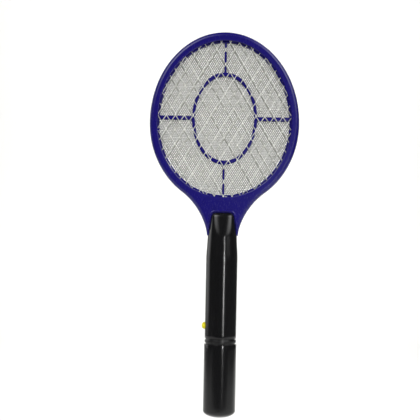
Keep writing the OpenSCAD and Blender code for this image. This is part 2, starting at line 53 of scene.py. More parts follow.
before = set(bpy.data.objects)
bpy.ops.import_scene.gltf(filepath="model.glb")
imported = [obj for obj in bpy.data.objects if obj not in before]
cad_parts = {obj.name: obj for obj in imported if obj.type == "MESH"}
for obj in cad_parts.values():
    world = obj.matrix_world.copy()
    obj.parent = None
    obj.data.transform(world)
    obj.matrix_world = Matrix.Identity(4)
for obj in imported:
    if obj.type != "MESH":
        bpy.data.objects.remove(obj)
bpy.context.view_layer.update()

MM = 0.001
AXIS_X, AXIS_Y, AXIS_Z = Vector((1, 0, 0)), Vector((0, 1, 0)), Vector((0, 0, 1))

# The head: an oval of one width and two half heights, and a throat that narrows to the neck
RING_LOW, RING_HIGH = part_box("front_ring")
HEAD_A = RING_HIGH.x  # half width
HEAD_Y = -RING_LOW.y  # half thickness
HEAD_Z = 382 * MM  # height of the oval's middle
HEAD_TOP = RING_HIGH.z - HEAD_Z  # half height above the middle
HEAD_BOTTOM = 108 * MM  # half height below it
THROAT_DROP = 90 * MM  # how far below the middle the throat's edges leave the oval
NECK_Z = 236 * MM  # lower end of the throat
NECK_HALF = 20.2 * MM  # its half width there
NECK_Y = 6 * MM  # its half thickness there
LIP_SHARE = 0.7  # the lip's inner face, as a share of the rim's half thickness
OPEN_SHARE = 1.16  # how fast the oval's lower half shrinks as it is drawn in
TOP_SHARE = 1.1  # the same for its upper half

# The handle: two shells that meet at y = 0, with tongues over the throat
SHELL_LOW, SHELL_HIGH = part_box("handle_front_shell")
HANDLE_R = SHELL_HIGH.x
NECK_R = 18.9 * MM  # the handle's radius at the neck
TAPER_Z = 208 * MM  # where it starts to narrow
SHELL_BOTTOM = SHELL_LOW.z
TONGUE_TOP = SHELL_HIGH.z
TONGUE_CORNER = 5.5 * MM  # radius of the tongue's upper corners, seen from the front
TONGUE_ROLL = 5 * MM  # how far below its end the tongue starts to roll down to the throat
WALL = 2.2 * MM  # thickness of the shells
HALF_PARTING = 0.05 * MM  # half the line between the two shells
COVER_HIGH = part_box("battery_cover")[1]
COVER_R = COVER_HIGH.x
BUTTON_LOW, BUTTON_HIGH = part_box("push_button")
BUTTON_Z = (BUTTON_LOW.z + BUTTON_HIGH.z) / 2
CELL_X = 7.6 * MM  # how far the cells' axes stand to each side

# Screws: places (x, z) in mm for the handle's and degrees round the oval for the rim's
SHELL_SCREWS = ((14, 135), (14, 195), (-14, 195), (10, 227), (-10, 227))
SHELL_SCREW_SEAT = 9 * MM
RIM_SCREW_ANGLES = (0, 42, 74, 106, 138, 180, 222, 318)
RIM_SCREW_INSET = 4.6 * MM
RIM_SCREW_SEAT = HEAD_Y - 4 * MM
TRAY_SCREW_Z = 108 * MM
TRAY_SCREW_SEAT = HANDLE_R - 1.45 * MM
TRAY_WELL_SEAT = HANDLE_R - 1.4 * MM

RACKET, COVER, BUTTON = "racket", "cover", "button"


# ---- settings


class SwatterSizes(bpy.types.PropertyGroup):
    """Sizes that can be changed without touching the frame."""

    rim_width: FloatProperty(
        name="Rim width", description="Width of the rim round the opening",
        default=10.5 * MM, unit="LENGTH", subtype="DISTANCE",
    )
    hoop_show: FloatProperty(
        name="Hoop reach", description="How far the rib frames' hoops reach into the opening",
        default=2.2 * MM, unit="LENGTH", subtype="DISTANCE",
    )
    cell_width: FloatProperty(
        name="Cell width", description="Width of one opening of the outer grids",
        default=11.6 * MM, unit="LENGTH", subtype="DISTANCE",
    )
    cell_height: FloatProperty(
        name="Cell height", description="Height of one opening of the outer grids",
        default=19 * MM, unit="LENGTH", subtype="DISTANCE",
    )
    strand: FloatProperty(
        name="Strand width", description="Width of a strand of the outer grids",
        default=1.0 * MM, unit="LENGTH", subtype="DISTANCE",
    )
    fine_strand: FloatProperty(
        name="Fine strand width", description="Width of a strand of the inner grid",
        default=0.92 * MM, unit="LENGTH", subtype="DISTANCE",
    )
    bead: FloatProperty(
        name="Tongue bead", description="Radius of the raised bead round the handle's tongue",
        default=1.3 * MM, unit="LENGTH", subtype="DISTANCE",
    )


def linear(hex_code):
    """An sRGB hex colour as linear red, green and blue."""
    parts = [int(hex_code[i:i + 2], 16) / 255 for i in (1, 3, 5)]
    return tuple(c / 12.92 if c <= 0.04045 else ((c + 0.055) / 1.055) ** 2.4 for c in parts)


class SwatterColours(bpy.types.PropertyGroup):
    """Colours of the moulded parts."""

    rim: FloatVectorProperty(
        name="Rim and ribs", description="Blue of the head's mouldings",
        subtype="COLOR", size=3, min=0, max=1, default=linear("#130872"),
    )
    handle: FloatVectorProperty(
        name="Handle", description="Black of the handle's mouldings",
        subtype="COLOR", size=3, min=0, max=1, default=linear("#0b0b0d"),
    )
    button: FloatVectorProperty(
        name="Button", description="Yellow of the push button",
        subtype="COLOR", size=3, min=0, max=1, default=linear("#fff000"),
    )


# ---- materials


def set_inputs(tree, node, inputs):
    """Sets a node's inputs; each is a value, or an output socket to link."""
    for key, value in inputs.items():
        if isinstance(value, bpy.types.NodeSocket):
            tree.links.new(value, node.inputs[key])
        else:
            node.inputs[key].default_value = value


def add_node(tree, kind, inputs=None, **settings):
    """Adds a node with its settings, values and links."""
    made = tree.nodes.new(kind)
    for name, value in settings.items():
        setattr(made, name, value)
    set_inputs(tree, made, inputs or {})
    return made


def new_material(name):
    """A material with a bare Principled shader, and its tree, shader and object coordinates."""
    material = bpy.data.materials.new(name)
    material.use_nodes = True
    tree = material.node_tree
    shader = tree.nodes["Principled BSDF"]
    coords = add_node(tree, "ShaderNodeTexCoord").outputs["Object"]
    return material, tree, shader, coords


FLOW_MARK = 30 * MM  # spacing of the flow marks in a moulding
ORANGE_PEEL = 1.4 * MM  # one dimple of the mould's skin, drawn as coarse as it needs to show
SCUFF = 0.9 * MM  # width of a rubbed mark, which is eight times as long
OXIDE_PATCH = 7 * MM  # size of a brighter or duller patch on bare metal


def moulded_abs(name, part, roughness, peel, rub=0.12):
    """Injection-moulded ABS in the colour set for a part: smooth, with faint orange peel from the
    mould, slow flow marks in the colour, fine rubbed scuffs, and sharp edges made paler as a painted
    highlight."""
    material, tree, shader, coords = new_material(name)
    colour = tuple(getattr(bpy.context.scene.swatter_colours, part))
    flow, grain = [
        add_node(tree, "ShaderNodeTexNoise", {"Vector": coords, "Scale": 1 / size, "Detail": detail})
        for size, detail in ((FLOW_MARK, 3.0), (ORANGE_PEEL, 2.0))
    ]
    stretched = add_node(
        tree, "ShaderNodeMapping", {"Vector": coords, "Rotation": (0.3, 0.5, 0.2), "Scale": (1, 1, 0.12)}
    )
    scuffs = add_node(
        tree, "ShaderNodeTexNoise",
        {"Vector": stretched.outputs[0], "Scale": 1 / SCUFF, "Detail": 4.0, "Roughness": 0.7},
    )
    worn = add_node(
        tree, "ShaderNodeMapRange",
        {"Value": scuffs.outputs[0], "From Min": 0.55, "From Max": 0.75, "To Min": 0.0, "To Max": rub},
    )
    # painted highlight: sharp convex edges, found by pointiness, are mixed towards a paler colour
    edge = add_node(
        tree, "ShaderNodeMapRange",
        {"Value": add_node(tree, "ShaderNodeNewGeometry").outputs["Pointiness"],
         "From Min": 0.52, "From Max": 0.62, "To Min": 0.0, "To Max": 0.35},
    )
    # the paler colour of the painted edge highlight
    light = [min(1, c * 1.25 + 0.012) for c in colour] + [1]
    dark = [c * 0.86 for c in colour] + [1]
    body = add_node(
        tree, "ShaderNodeMix", {0: flow.outputs[0], 6: dark, 7: [*colour, 1]}, data_type="RGBA"
    )
    tone = add_node(
        tree, "ShaderNodeMix", {0: edge.outputs[0], 6: body.outputs[2], 7: light}, data_type="RGBA"
    )
    rough = add_node(tree, "ShaderNodeMath", {0: worn.outputs[0], 1: roughness}, operation="ADD")
    bump = add_node(
        tree, "ShaderNodeBump", {"Height": grain.outputs[0], "Strength": peel, "Distance": 0.03 * MM}
    )
    set_inputs(tree, shader, {
        "IOR": 1.53, "Base Color": tone.outputs[2], "Roughness": rough.outputs[0],
        "Normal": bump.outputs[0],
    })
    return material


def rolled_metal(name, hex_code, roughness, grit_mm, bump_mm=0.01):
    """Bare rolled or drawn metal: soft sheen, with brightness and roughness that change
    from patch to patch as the oxide does."""
    material, tree, shader, coords = new_material(name)
    colour = linear(hex_code)
    dull = [c * 0.8 for c in colour] + [1]
    patches, grit = [
        add_node(tree, "ShaderNodeTexNoise", {"Vector": coords, "Scale": 1 / size, "Detail": 3.0})
        for size in (OXIDE_PATCH, grit_mm * MM)
    ]
    tone = add_node(
        tree, "ShaderNodeMix",
        {0: patches.outputs[0], 6: dull, 7: [*colour, 1]}, data_type="RGBA",
    )
    rough = add_node(
        tree, "ShaderNodeMapRange",
        {"Value": grit.outputs[0], "To Min": roughness - 0.07, "To Max": roughness + 0.07},
    )
    bump = add_node(
        tree, "ShaderNodeBump", {"Height": grit.outputs[0], "Strength": 0.5, "Distance": bump_mm * MM}
    )
    set_inputs(tree, shader, {
        "Metallic": 1.0, "Base Color": tone.outputs[2], "Roughness": rough.outputs[0],
        "Normal": bump.outputs[0],
    })
    return material


def cast_or_dipped(name, hex_code, roughness, ior, lump_mm, depth_mm, mottle=0.75):
    """Dipped, cured, wound or pressed matter: an even colour with soft mottling, and
    lumps or threads of the given size in the surface."""
    material, tree, shader, coords = new_material(name)
    colour = linear(hex_code)
    shade = [c * mottle for c in colour] + [1]
    lumps = add_node(
        tree, "ShaderNodeTexNoise", {"Vector": coords, "Scale": 1 / (lump_mm * MM), "Detail": 4.0}
    )
    tone = add_node(
        tree, "ShaderNodeMix",
        {0: lumps.outputs[0], 6: shade, 7: [*colour, 1]}, data_type="RGBA",
    )
    rough = add_node(
        tree, "ShaderNodeMapRange",
        {"Value": lumps.outputs[0], "To Min": roughness - 0.06, "To Max": roughness + 0.06},
    )
    bump = add_node(
        tree, "ShaderNodeBump", {"Height": lumps.outputs[0], "Strength": 0.6, "Distance": depth_mm * MM}
    )
    set_inputs(tree, shader, {
        "IOR": ior, "Base Color": tone.outputs[2], "Roughness": rough.outputs[0],
        "Normal": bump.outputs[0],
    })
    return material


def shrink_wrapped_cell():
    """A cell's printed shrink sleeve: glossy film, a dark body with a pale band at the
    positive end, drawn along the cell's own length."""
    material, tree, shader, coords = new_material("shrink_sleeve_pvc")
    unrolled = add_node(tree, "ShaderNodeUVMap")
    split = add_node(tree, "ShaderNodeSeparateXYZ", {0: unrolled.outputs[0]})
    band = add_node(
        tree, "ShaderNodeMapRange",
        {"Value": split.outputs[1], "From Min": 0.70, "From Max": 0.705, "To Min": 0.0, "To Max": 1.0},
    )
    tone = add_node(
        tree, "ShaderNodeMix",
        {0: band.outputs[0], 6: [*linear("#1f5c43"), 1], 7: [*linear("#c9ccc4"), 1]}, data_type="RGBA",
    )
    film = add_node(tree, "ShaderNodeTexNoise", {"Vector": coords, "Scale": 1 / (4 * MM), "Detail": 2.0})
    bump = add_node(
        tree, "ShaderNodeBump", {"Height": film.outputs[0], "Strength": 0.3, "Distance": 0.04 * MM}
    )
    set_inputs(tree, shader, {
        "IOR": 1.53, "Base Color": tone.outputs[2], "Roughness": 0.22, "Normal": bump.outputs[0],
    })
    return material


MATERIALS = {
    # key: the function that makes it and what that function takes
    # the head's mouldings: polished mould, so a clear gloss over deep blue
    "rim_abs": (moulded_abs, "blue_gloss_abs", "rim", 0.24, 0.3),
    # the handle's mouldings: gloss black, with scuffs that only its highlights show
    "handle_abs": (moulded_abs, "black_gloss_abs", "handle", 0.16, 0.3),
    # inner mouldings in the same black, from a plain mould, so they are satin
    "tray_abs": (moulded_abs, "black_satin_abs", "handle", 0.32, 0.4),
    # the button: small, bright and smooth
    "button_abs": (moulded_abs, "yellow_gloss_abs", "button", 0.35, 0.25, 0.06),
    # slit and stretched aluminium sheet: pale, soft and uneven
    "sheet_aluminium": (rolled_metal, "expanded_aluminium", "#f0f0ea", 0.62, 0.8),
    # the same aluminium in finer sheet, its colour darkened as painted shade for where it lies behind the
    # front sheet
    "fine_aluminium": (rolled_metal, "fine_aluminium_painted_shade", "#b2b2ac", 0.62, 0.8),
    # zinc plating on steel: bright, cold and slightly grainy
    "zinc_steel": (rolled_metal, "zinc_plated_steel", "#b9bcc0", 0.3, 0.3, 0.005),
    # tin dipped over brass: a warm grey sheen
    "tinned_brass": (rolled_metal, "tinned_brass", "#cfc9b4", 0.32, 0.4),
    # nickel plating on drawn spring wire: the brightest of the metals
    "nickel_steel": (rolled_metal, "nickel_plated_steel", "#d6d2c6", 0.2, 0.5),
    # paper pressed with phenolic resin: dull brown, with fibres that show as faint mottling
    "board_paper": (cast_or_dipped, "phenolic_paper_board", "#a9763c", 0.55, 1.6, 1.2, 0.02),
    # sintered ferrite: dark, dull and grainy, like a stone
    "ferrite": (cast_or_dipped, "sintered_ferrite", "#39393c", 0.6, 1.8, 0.4, 0.02),
    # moulded nylon: cream and faintly cloudy
    "bobbin_nylon": (cast_or_dipped, "moulded_nylon", "#d8d2c0", 0.45, 1.53, 2.0, 0.01, 0.93),
    # wound polyester tape: amber and glossy, with the turns beneath pressing through
    "winding_tape": (cast_or_dipped, "polyester_tape", "#d1a52a", 0.3, 1.57, 1.6, 0.05, 0.85),
    # dipped epoxy: thick gloss with soft lumps, rust red or blue
    "red_epoxy": (cast_or_dipped, "dipped_red_epoxy", "#8c2f1c", 0.25, 1.55, 2.5, 0.08),
    "blue_epoxy": (cast_or_dipped, "dipped_blue_epoxy", "#2c5fa8", 0.3, 1.55, 2.5, 0.08),
    # filled epoxy, pressure moulded: near black and matt, with a fine grain
    "black_epoxy": (cast_or_dipped, "moulded_black_epoxy", "#1c1c1e", 0.5, 1.55, 0.3, 0.01),
    # lacquer over a resistor's body: tan with a soft shine
    "tan_epoxy": (cast_or_dipped, "resistor_lacquer", "#caa472", 0.35, 1.5, 1.0, 0.02),
    # extruded PVC insulation: an even satin colour, slightly wavy along the wire
    "red_pvc": (cast_or_dipped, "red_pvc_insulation", "#b3221a", 0.4, 1.53, 1.5, 0.01, 0.9),
    "black_pvc": (cast_or_dipped, "black_pvc_insulation", "#18181a", 0.4, 1.53, 1.5, 0.01, 0.9),
    # the cells' printed sleeve
    "cell_sleeve": (shrink_wrapped_cell,),
}


def material(key):
    """The material of that key, made on first use."""
    if key not in material.made:
        maker, *values = MATERIALS[key]
        material.made[key] = maker(*values)
    return material.made[key]


material.made = {}


# ---- mesh helpers


def link(name, mesh, material_key, body, nodes=(), sharp=35):
    """Adds a piece to the scene with its material, body and the CAD nodes it stands for."""
    piece = bpy.data.objects.new(name, mesh)
    bpy.context.scene.collection.objects.link(piece)
    if not mesh.materials:
        mesh.materials.append(material(material_key))
    mesh.polygons.foreach_set("use_smooth", [True] * len(mesh.polygons))
    mesh.set_sharp_from_angle(angle=math.radians(sharp))
    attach(piece, body)
    if nodes:
        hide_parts(*nodes)
    return piece


def weld(bm):
    """Welds a bmesh and turns its faces outward."""
    bmesh.ops.remove_doubles(bm, verts=bm.verts, dist=1e-6)
    bmesh.ops.recalc_face_normals(bm, faces=bm.faces)


def to_mesh(bm, name):
    """A mesh from a bmesh, which is freed."""
    mesh = bpy.data.meshes.new(name)
    bm.to_mesh(mesh)
    bm.free()
    return mesh


def skin(bm, rows, closed_rows=False, closed_columns=False):
    """Faces between rows of points; returns the rows' vertices."""
    made = [[bm.verts.new(p) for p in row] for row in rows]
    row_count = len(made) if closed_rows else len(made) - 1
    width = len(made[0])
    column_count = width if closed_columns else width - 1
    for i in range(row_count):
        upper, lower = made[i], made[(i + 1) % len(made)]
        for j in range(column_count):
            k = (j + 1) % width
            bm.faces.new((upper[j], upper[k], lower[k], lower[j]))
    return made


def lathe(bm, profile, matrix=Matrix.Identity(4), steps=64):
    """Revolves (radius, height) points round Z and places the result with a matrix."""
    rings = []
    for radius, height in profile:
        if radius < 1e-7:
            rings.append([bm.verts.new(matrix @ Vector((0, 0, height)))])
        else:
            rings.append([
                bm.verts.new(matrix @ Vector((
                    radius * math.cos(2 * math.pi * k / steps),
                    radius * math.sin(2 * math.pi * k / steps), height,
                )))
                for k in range(steps)
            ])
    for low, high in zip(rings, rings[1:]):
        for k in range(steps):
            n = (k + 1) % steps
            if len(low) == 1:
                bm.faces.new((low[0], high[k], high[n]))
            elif len(high) == 1:
                bm.faces.new((low[k], low[n], high[0]))
            else:
                bm.faces.new((low[k], low[n], high[n], high[k]))


def arc(cx, cy, radius_x, radius_y, start, end, steps):
    """Points of an elliptical arc between two angles in degrees."""
    turns = [math.radians(start + (end - start) * i / steps) for i in range(steps + 1)]
    return [(cx + radius_x * math.cos(t), cy + radius_y * math.sin(t)) for t in turns]


def bar(bm, start, end, across, out, half_w, half_t):
    """A square-section bar between two points, with its width along across and thickness along out."""
    corners = [(-1, -1), (1, -1), (1, 1), (-1, 1)]
    ends = [
        [bm.verts.new(p + across * half_w * a + out * half_t * b) for a, b in corners]
        for p in (start, end)
    ]
    for k in range(4):
        n = (k + 1) % 4
        bm.faces.new((ends[0][k], ends[0][n], ends[1][n], ends[1][k]))
    bm.faces.new(reversed(ends[0]))
    bm.faces.new(ends[1])


def tube(bm, points, radius, sides=10):
    """A round tube along a list of points, with flat ends."""
    count = len(points)
    rows = []
    side = None
    for i, point in enumerate(points):
        along = (points[min(i + 1, count - 1)] - points[max(i - 1, 0)]).normalized()
        guess = (AXIS_Y if abs(along.y) < 0.9 else AXIS_X) if side is None else side
        side = (guess - along * guess.dot(along)).normalized()
        up = along.cross(side)
        rows.append([
            point + radius * (math.cos(t) * side + math.sin(t) * up)
            for t in [2 * math.pi * k / sides for k in range(sides)]
        ])
    made = skin(bm, rows, closed_columns=True)
    bm.faces.new(reversed(made[0]))
    bm.faces.new(made[-1])


def rounded(points, radius, steps=5, turn=25):
    """A closed outline with its sharp corners rounded."""
    out = []
    count = len(points)
    for i, p in enumerate(points):
        before, after = points[i - 1] - p, points[(i + 1) % count] - p
        bend = math.pi - before.angle(after)
        if math.degrees(bend) < turn:
            out.append(p)
            continue
        reach = min(radius * math.tan(bend / 2), before.length * 0.45, after.length * 0.45)
        a, b = p + before.normalized() * reach, p + after.normalized() * reach
        for s in range(steps + 1):
            t = s / steps
            out.append(a * (1 - t) ** 2 + p * 2 * t * (1 - t) + b * t * t)
    return out


def cut(piece, cutter_bm):
    """Cuts a bmesh of closed shapes out of a piece, and keeps the result as its mesh."""
    bmesh.ops.recalc_face_normals(cutter_bm, faces=cutter_bm.faces)
    tool = bpy.data.objects.new("cutter", to_mesh(cutter_bm, "cutter"))
    bpy.context.scene.collection.objects.link(tool)
    modifier = piece.modifiers.new("cut", "BOOLEAN")
    modifier.operation = "DIFFERENCE"
    modifier.solver = "EXACT"
    modifier.object = tool
    apply_modifiers(piece)
    bpy.data.objects.remove(tool)


def apply_modifiers(piece, sharp=35):
    """Replaces a piece's mesh with what its modifiers make of it, with hard edges over an angle."""
    bpy.context.view_layer.update()
    evaluated = piece.evaluated_get(bpy.context.evaluated_depsgraph_get())
    mesh = bpy.data.meshes.new_from_object(evaluated)
    piece.modifiers.clear()
    mesh.set_sharp_from_angle(angle=math.radians(sharp))
    piece.data = mesh


def add_bevel(piece, width, segments, angle):
    """Rounds a piece's edges that are sharper than an angle in degrees, once its modifiers are applied."""
    bevel = piece.modifiers.new("edge", "BEVEL")
    bevel.width = width
    bevel.segments = segments
    bevel.limit_method = "ANGLE"
    bevel.angle_limit = math.radians(angle)


def placed(location, turn=(0, 0, 0)):
    """The matrix that turns a shape about the origin and then moves it."""
    return Matrix.Translation(location) @ Euler(turn).to_matrix().to_4x4()


def facing_back(x, z, y):
    """Places a shape made along Z so that it points along +Y from x, y, z."""
    return placed((x, y, z), (-math.pi / 2, 0, 0))


# ---- the head's outline


def oval_point(inset, angle):
    """A point (x, z) of the head's oval drawn in by inset, at an angle in radians."""
    s = math.sin(angle)
    half = HEAD_TOP - TOP_SHARE * inset if s >= 0 else HEAD_BOTTOM - OPEN_SHARE * inset
    return Vector(((HEAD_A - inset) * math.cos(angle), HEAD_Z + half * s))


def oval(inset, steps):
    """The whole oval drawn in by inset."""
    return [oval_point(inset, 2 * math.pi * i / steps) for i in range(steps)]


def inside_oval(x, z, inset):
    """True if x, z lies inside the oval drawn in by inset."""
    dz = z - HEAD_Z
    half = HEAD_TOP - TOP_SHARE * inset if dz >= 0 else HEAD_BOTTOM - OPEN_SHARE * inset
    return (x / (HEAD_A - inset)) ** 2 + (dz / half) ** 2 < 1


THROAT_ANGLE = math.asin(THROAT_DROP / HEAD_BOTTOM)


def throat_edge(share):
    """The throat's left edge, a curve from the oval (0) down to the neck (1)."""
    start = oval_point(0, math.pi + THROAT_ANGLE)
    slope = Vector(((HEAD_A / HEAD_BOTTOM) ** 2 * THROAT_DROP / -start.x, -1))
    pull_up, pull_down = 17 * MM, 12 * MM
    knots = (
        start,
        start + slope * pull_up,
        Vector((-NECK_HALF, NECK_Z + pull_down)),
        Vector((-NECK_HALF, NECK_Z)),
    )
    r = 1 - share
    return (
        knots[0] * r ** 3 + knots[1] * 3 * share * r * r
        + knots[2] * 3 * share * share * r + knots[3] * share ** 3
    )


def throat_half(z, rim_width):
    """Half thickness of the head at height z: thinner towards the neck."""
    top = HEAD_Z - HEAD_BOTTOM + OPEN_SHARE * rim_width
    share = min(1, max(0, (z - NECK_Z) / (top - NECK_Z)))
    return NECK_Y + (HEAD_Y - NECK_Y) * share


def rim_stations():
    """Round the ring: each station's angle in the opening and its point on the outer edge."""
    upper, throat = 220, 34  # steps round the oval and down each side of the throat
    sweep = math.pi + 2 * THROAT_ANGLE
    lower = math.pi - 2 * THROAT_ANGLE
    side_share, half_neck_share = 0.42, 0.08  # of the opening's lower arc
    turns = [i * sweep / upper - THROAT_ANGLE for i in range(upper + 1)]
    stations = [(turn, oval_point(0, turn)) for turn in turns]
    left = [
        (math.pi + THROAT_ANGLE + side_share * lower * i / throat, throat_edge(i / throat))
        for i in range(1, throat + 1)
    ]
    across = [-1 + i / 6 for i in range(1, 12)]
    neck = [(1.5 * math.pi + a * half_neck_share * lower, Vector((a * NECK_HALF, NECK_Z))) for a in across]
    right = [(3 * math.pi - angle, Vector((-p.x, p.y))) for angle, p in reversed(left)]
    return stations + left + neck + right


def rim_section():
    """The rim's section: outer-edge points (inset, share of thickness), then points by the opening."""
    roll, inner_roll, lip = 5.2 * MM, 1.5 * MM, 2.8 * MM
    seam = [(0.3 * MM, 0.0), (0.3 * MM, 0.012), (0.05 * MM, 0.04), (0, 0.08)]
    corner = arc(roll, 0.36, -roll, 0.64, 0, 90, 12)
    edge = arc(inner_roll, 0.87, -inner_roll, 0.13, 90, 0, 6)
    return seam + corner, edge + [(0, LIP_SHARE), (lip, LIP_SHARE), (lip, 0.0)]


def ring_mesh(side, rim_width):
    """One half of the head's rim; side is -1 for the front and 1 for the back."""
    stations = rim_stations()
    outer, inner = rim_section()
    count = len(stations)
    rows = []
    for k, (angle, point) in enumerate(stations):
        along = stations[(k + 1) % count][1] - stations[k - 1][1]
        inward = Vector((-along.y, along.x)).normalized()
        row = []
        for inset, share in outer:
            p = point + inward * inset
            row.append(Vector((p.x, side * share * throat_half(p.y, rim_width), p.y)))
        face_start = point + inward * outer[-1][0]
        face_end = oval_point(rim_width - inner[0][0], angle)
        for i in range(1, 12):
            p = face_start.lerp(face_end, i / 12)
            row.append(Vector((p.x, side * throat_half(p.y, rim_width), p.y)))
        for outset, share in inner:
            p = oval_point(rim_width - outset, angle)
            row.append(Vector((p.x, side * share * HEAD_Y, p.y)))
        rows.append(row)
    bm = bmesh.new()
    skin(bm, rows, closed_rows=True, closed_columns=True)
    weld(bm)
    return to_mesh(bm, "ring")


def tongue_half_width(z):
    """The tongue's half width at height z, leaving its rounded corners out."""
    share = (z - NECK_Z) / (TONGUE_TOP - NECK_Z)
    low_half, narrowing = 18.0, 4.0  # in mm
    return (low_half - narrowing * share) * MM


def tongue_bead(side, rim_width, radius):
    """A raised bead on the throat, round the tongue's upper end."""
    off, corner, sunk = 2.0 * MM, 6.5 * MM, 0.15 * MM
    start, step = NECK_Z + 8 * MM, 2.4 * MM
    half = tongue_half_width(TONGUE_TOP) + off
    top = TONGUE_TOP + off
    flank = [(tongue_half_width(z) + off, z) for z in [start + i * step for i in range(7)]]
    path = [(-x, z) for x, z in flank]
    path += arc(-half + corner, top - corner, corner, corner, 180, 90, 10)
    path += arc(half - corner, top - corner, corner, corner, 90, 0, 10)
    path += reversed(flank)
    bm = bmesh.new()
    tube(bm, [Vector((x, side * (throat_half(z, rim_width) - sunk), z)) for x, z in path], radius, 12)
    return bm


def rim_screw_places():
    """Places (x, z) of the rim's screws."""
    return [oval_point(RIM_SCREW_INSET, math.radians(a)) for a in RIM_SCREW_ANGLES]


def make_rims(sizes):
    """The two halves of the rim, with the plug that the handle grips and the bead round the tongue;
    the back half also has the screw wells."""
    plug_low, plug_high, plug_y = 218 * MM, NECK_Z + 8 * MM, 2.8 * MM
    plug_half_w, plug_half_t = 14.5 * MM, 2.7 * MM
    head_r, mouth_r, step_low, step_high, depth = 2.2 * MM, 2.7 * MM, 3.6 * MM, 4.05 * MM, 6 * MM
    well = [(0, 0), (head_r, 0), (head_r, step_low), (mouth_r, step_high), (mouth_r, depth), (0, depth)]
    for side, name in ((-1, "front_ring"), (1, "back_ring")):
        bm = tongue_bead(side, sizes.rim_width, sizes.bead)
        low, high = Vector((0, side * plug_y, plug_low)), Vector((0, side * plug_y, plug_high))
        bar(bm, low, high, AXIS_X, AXIS_Y, plug_half_w, plug_half_t)
        bm.from_mesh(ring_mesh(side, sizes.rim_width))
        bmesh.ops.recalc_face_normals(bm, faces=bm.faces)
        piece = link(name + "_moulding", to_mesh(bm, name), "rim_abs", RACKET, [name])
        if side > 0:
            wells = bmesh.new()
            for p in rim_screw_places():
                lathe(wells, well, facing_back(p.x, p.y, RIM_SCREW_SEAT), 28)
            cut(piece, wells)


# ---- ribs


RIB_Z = 388 * MM
RIB_A, RIB_B = 40.3 * MM, 57.2 * MM
RIB_SIDE, RIB_APEX = 1.95 * MM, 2.6 * MM  # half widths of the oval rib at its sides and apexes
UPRIGHT_HALF, CROSS_HALF = 1.45 * MM, 2.65 * MM  # half widths of the straight ribs
RIB_CORNER = 2.2 * MM  # rounding where ribs meet
RIB_LAP = 2.5 * MM  # how far the frame reaches into the rim
RIB_EDGE = 0.8 * MM


def rib_oval(more_a, more_b, steps):
    """The oval rib's middle line, made larger by the given amounts."""
    return [
        Vector(((RIB_A + more_a) * math.cos(t), RIB_Z + (RIB_B + more_b) * math.sin(t)))
        for t in [2 * math.pi * i / steps for i in range(steps)]
    ]


def rib_outlines(sizes):
    """The rib frame's outer outline and the outlines of its five openings."""
    dense, plain = 480, 160
    hoop = oval(sizes.rim_width + sizes.hoop_show, dense)
    ring = rib_oval(RIB_SIDE, RIB_APEX, dense)
    holes = [rib_oval(-RIB_SIDE, -RIB_APEX, plain)]
    for sx, sz in ((1, 1), (-1, 1), (-1, -1), (1, -1)):
        def keep(p):
            return sx * p.x > UPRIGHT_HALF and sz * (p.y - RIB_Z) > CROSS_HALF

        def turn(p):
            return math.atan2(sz * (p.y - RIB_Z), sx * p.x)

        far = sorted(filter(keep, hoop), key=turn)
        near = sorted(filter(keep, ring), key=turn, reverse=True)
        upright, cross = sx * UPRIGHT_HALF, RIB_Z + sz * CROSS_HALF
        holes.append(rounded([
            *far[::3], Vector((upright, far[-1].y)), Vector((upright, near[0].y)),
            *near[::3], Vector((near[-1].x, cross)), Vector((far[0].x, cross)),
        ], RIB_CORNER))
    return [oval(sizes.rim_width - RIB_LAP, 240), *holes]


def flat_plate(outlines, y_low, y_high, edge):
    """A plate in x and z with holes and rounded edges, between two depths."""
    curve = bpy.data.curves.new("plate", "CURVE")
    curve.dimensions = "2D"
    curve.fill_mode = "BOTH"
    curve.extrude = (y_high - y_low) / 2 - edge
    curve.bevel_depth = edge
    curve.bevel_resolution = 2
    curve.offset = -edge
    for outline in outlines:
        spline = curve.splines.new("POLY")
        spline.points.add(len(outline) - 1)
        for point, p in zip(spline.points, outline):
            point.co = (p.x, p.y, 0, 1)
        spline.use_cyclic_u = True
    holder = bpy.data.objects.new("plate", curve)
    bpy.context.scene.collection.objects.link(holder)
    bpy.context.view_layer.update()
    mesh = bpy.data.meshes.new_from_object(holder.evaluated_get(bpy.context.evaluated_depsgraph_get()))
    bpy.data.objects.remove(holder)
    mesh.transform(placed((0, (y_low + y_high) / 2, 0), (math.pi / 2, 0, 0)))
    bm = bmesh.new()
    bm.from_mesh(mesh)
    weld(bm)
    return to_mesh(bm, "plate")


def make_ribs(sizes):
    """The two rib frames, each one moulding with rounded edges."""
    outlines = rib_outlines(sizes)
    for name in ("front_rib_frame", "back_rib_frame"):
        low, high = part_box(name)
        mesh = flat_plate(outlines, low.y, high.y, RIB_EDGE)
        link(name + "_moulding", mesh, "rim_abs", RACKET, [name])


# ---- grids


FINE_SHARE = 0.225  # the fine sheet's openings, as a share of the outer sheets'
OUTER_INSET = 8.6 * MM  # the outer sheets are cut inside the rim
FINE_GAP = 2.3 * MM  # the fine sheet stops this far short of the rim
BOND_REACH, BOND_WIDTH = 1.15, 0.86  # a bond's half height and half width, in strand widths
STRAND_TILT, TILT_SPREAD = 24, 7  # degrees that the stretching turns a strand, and how much that varies


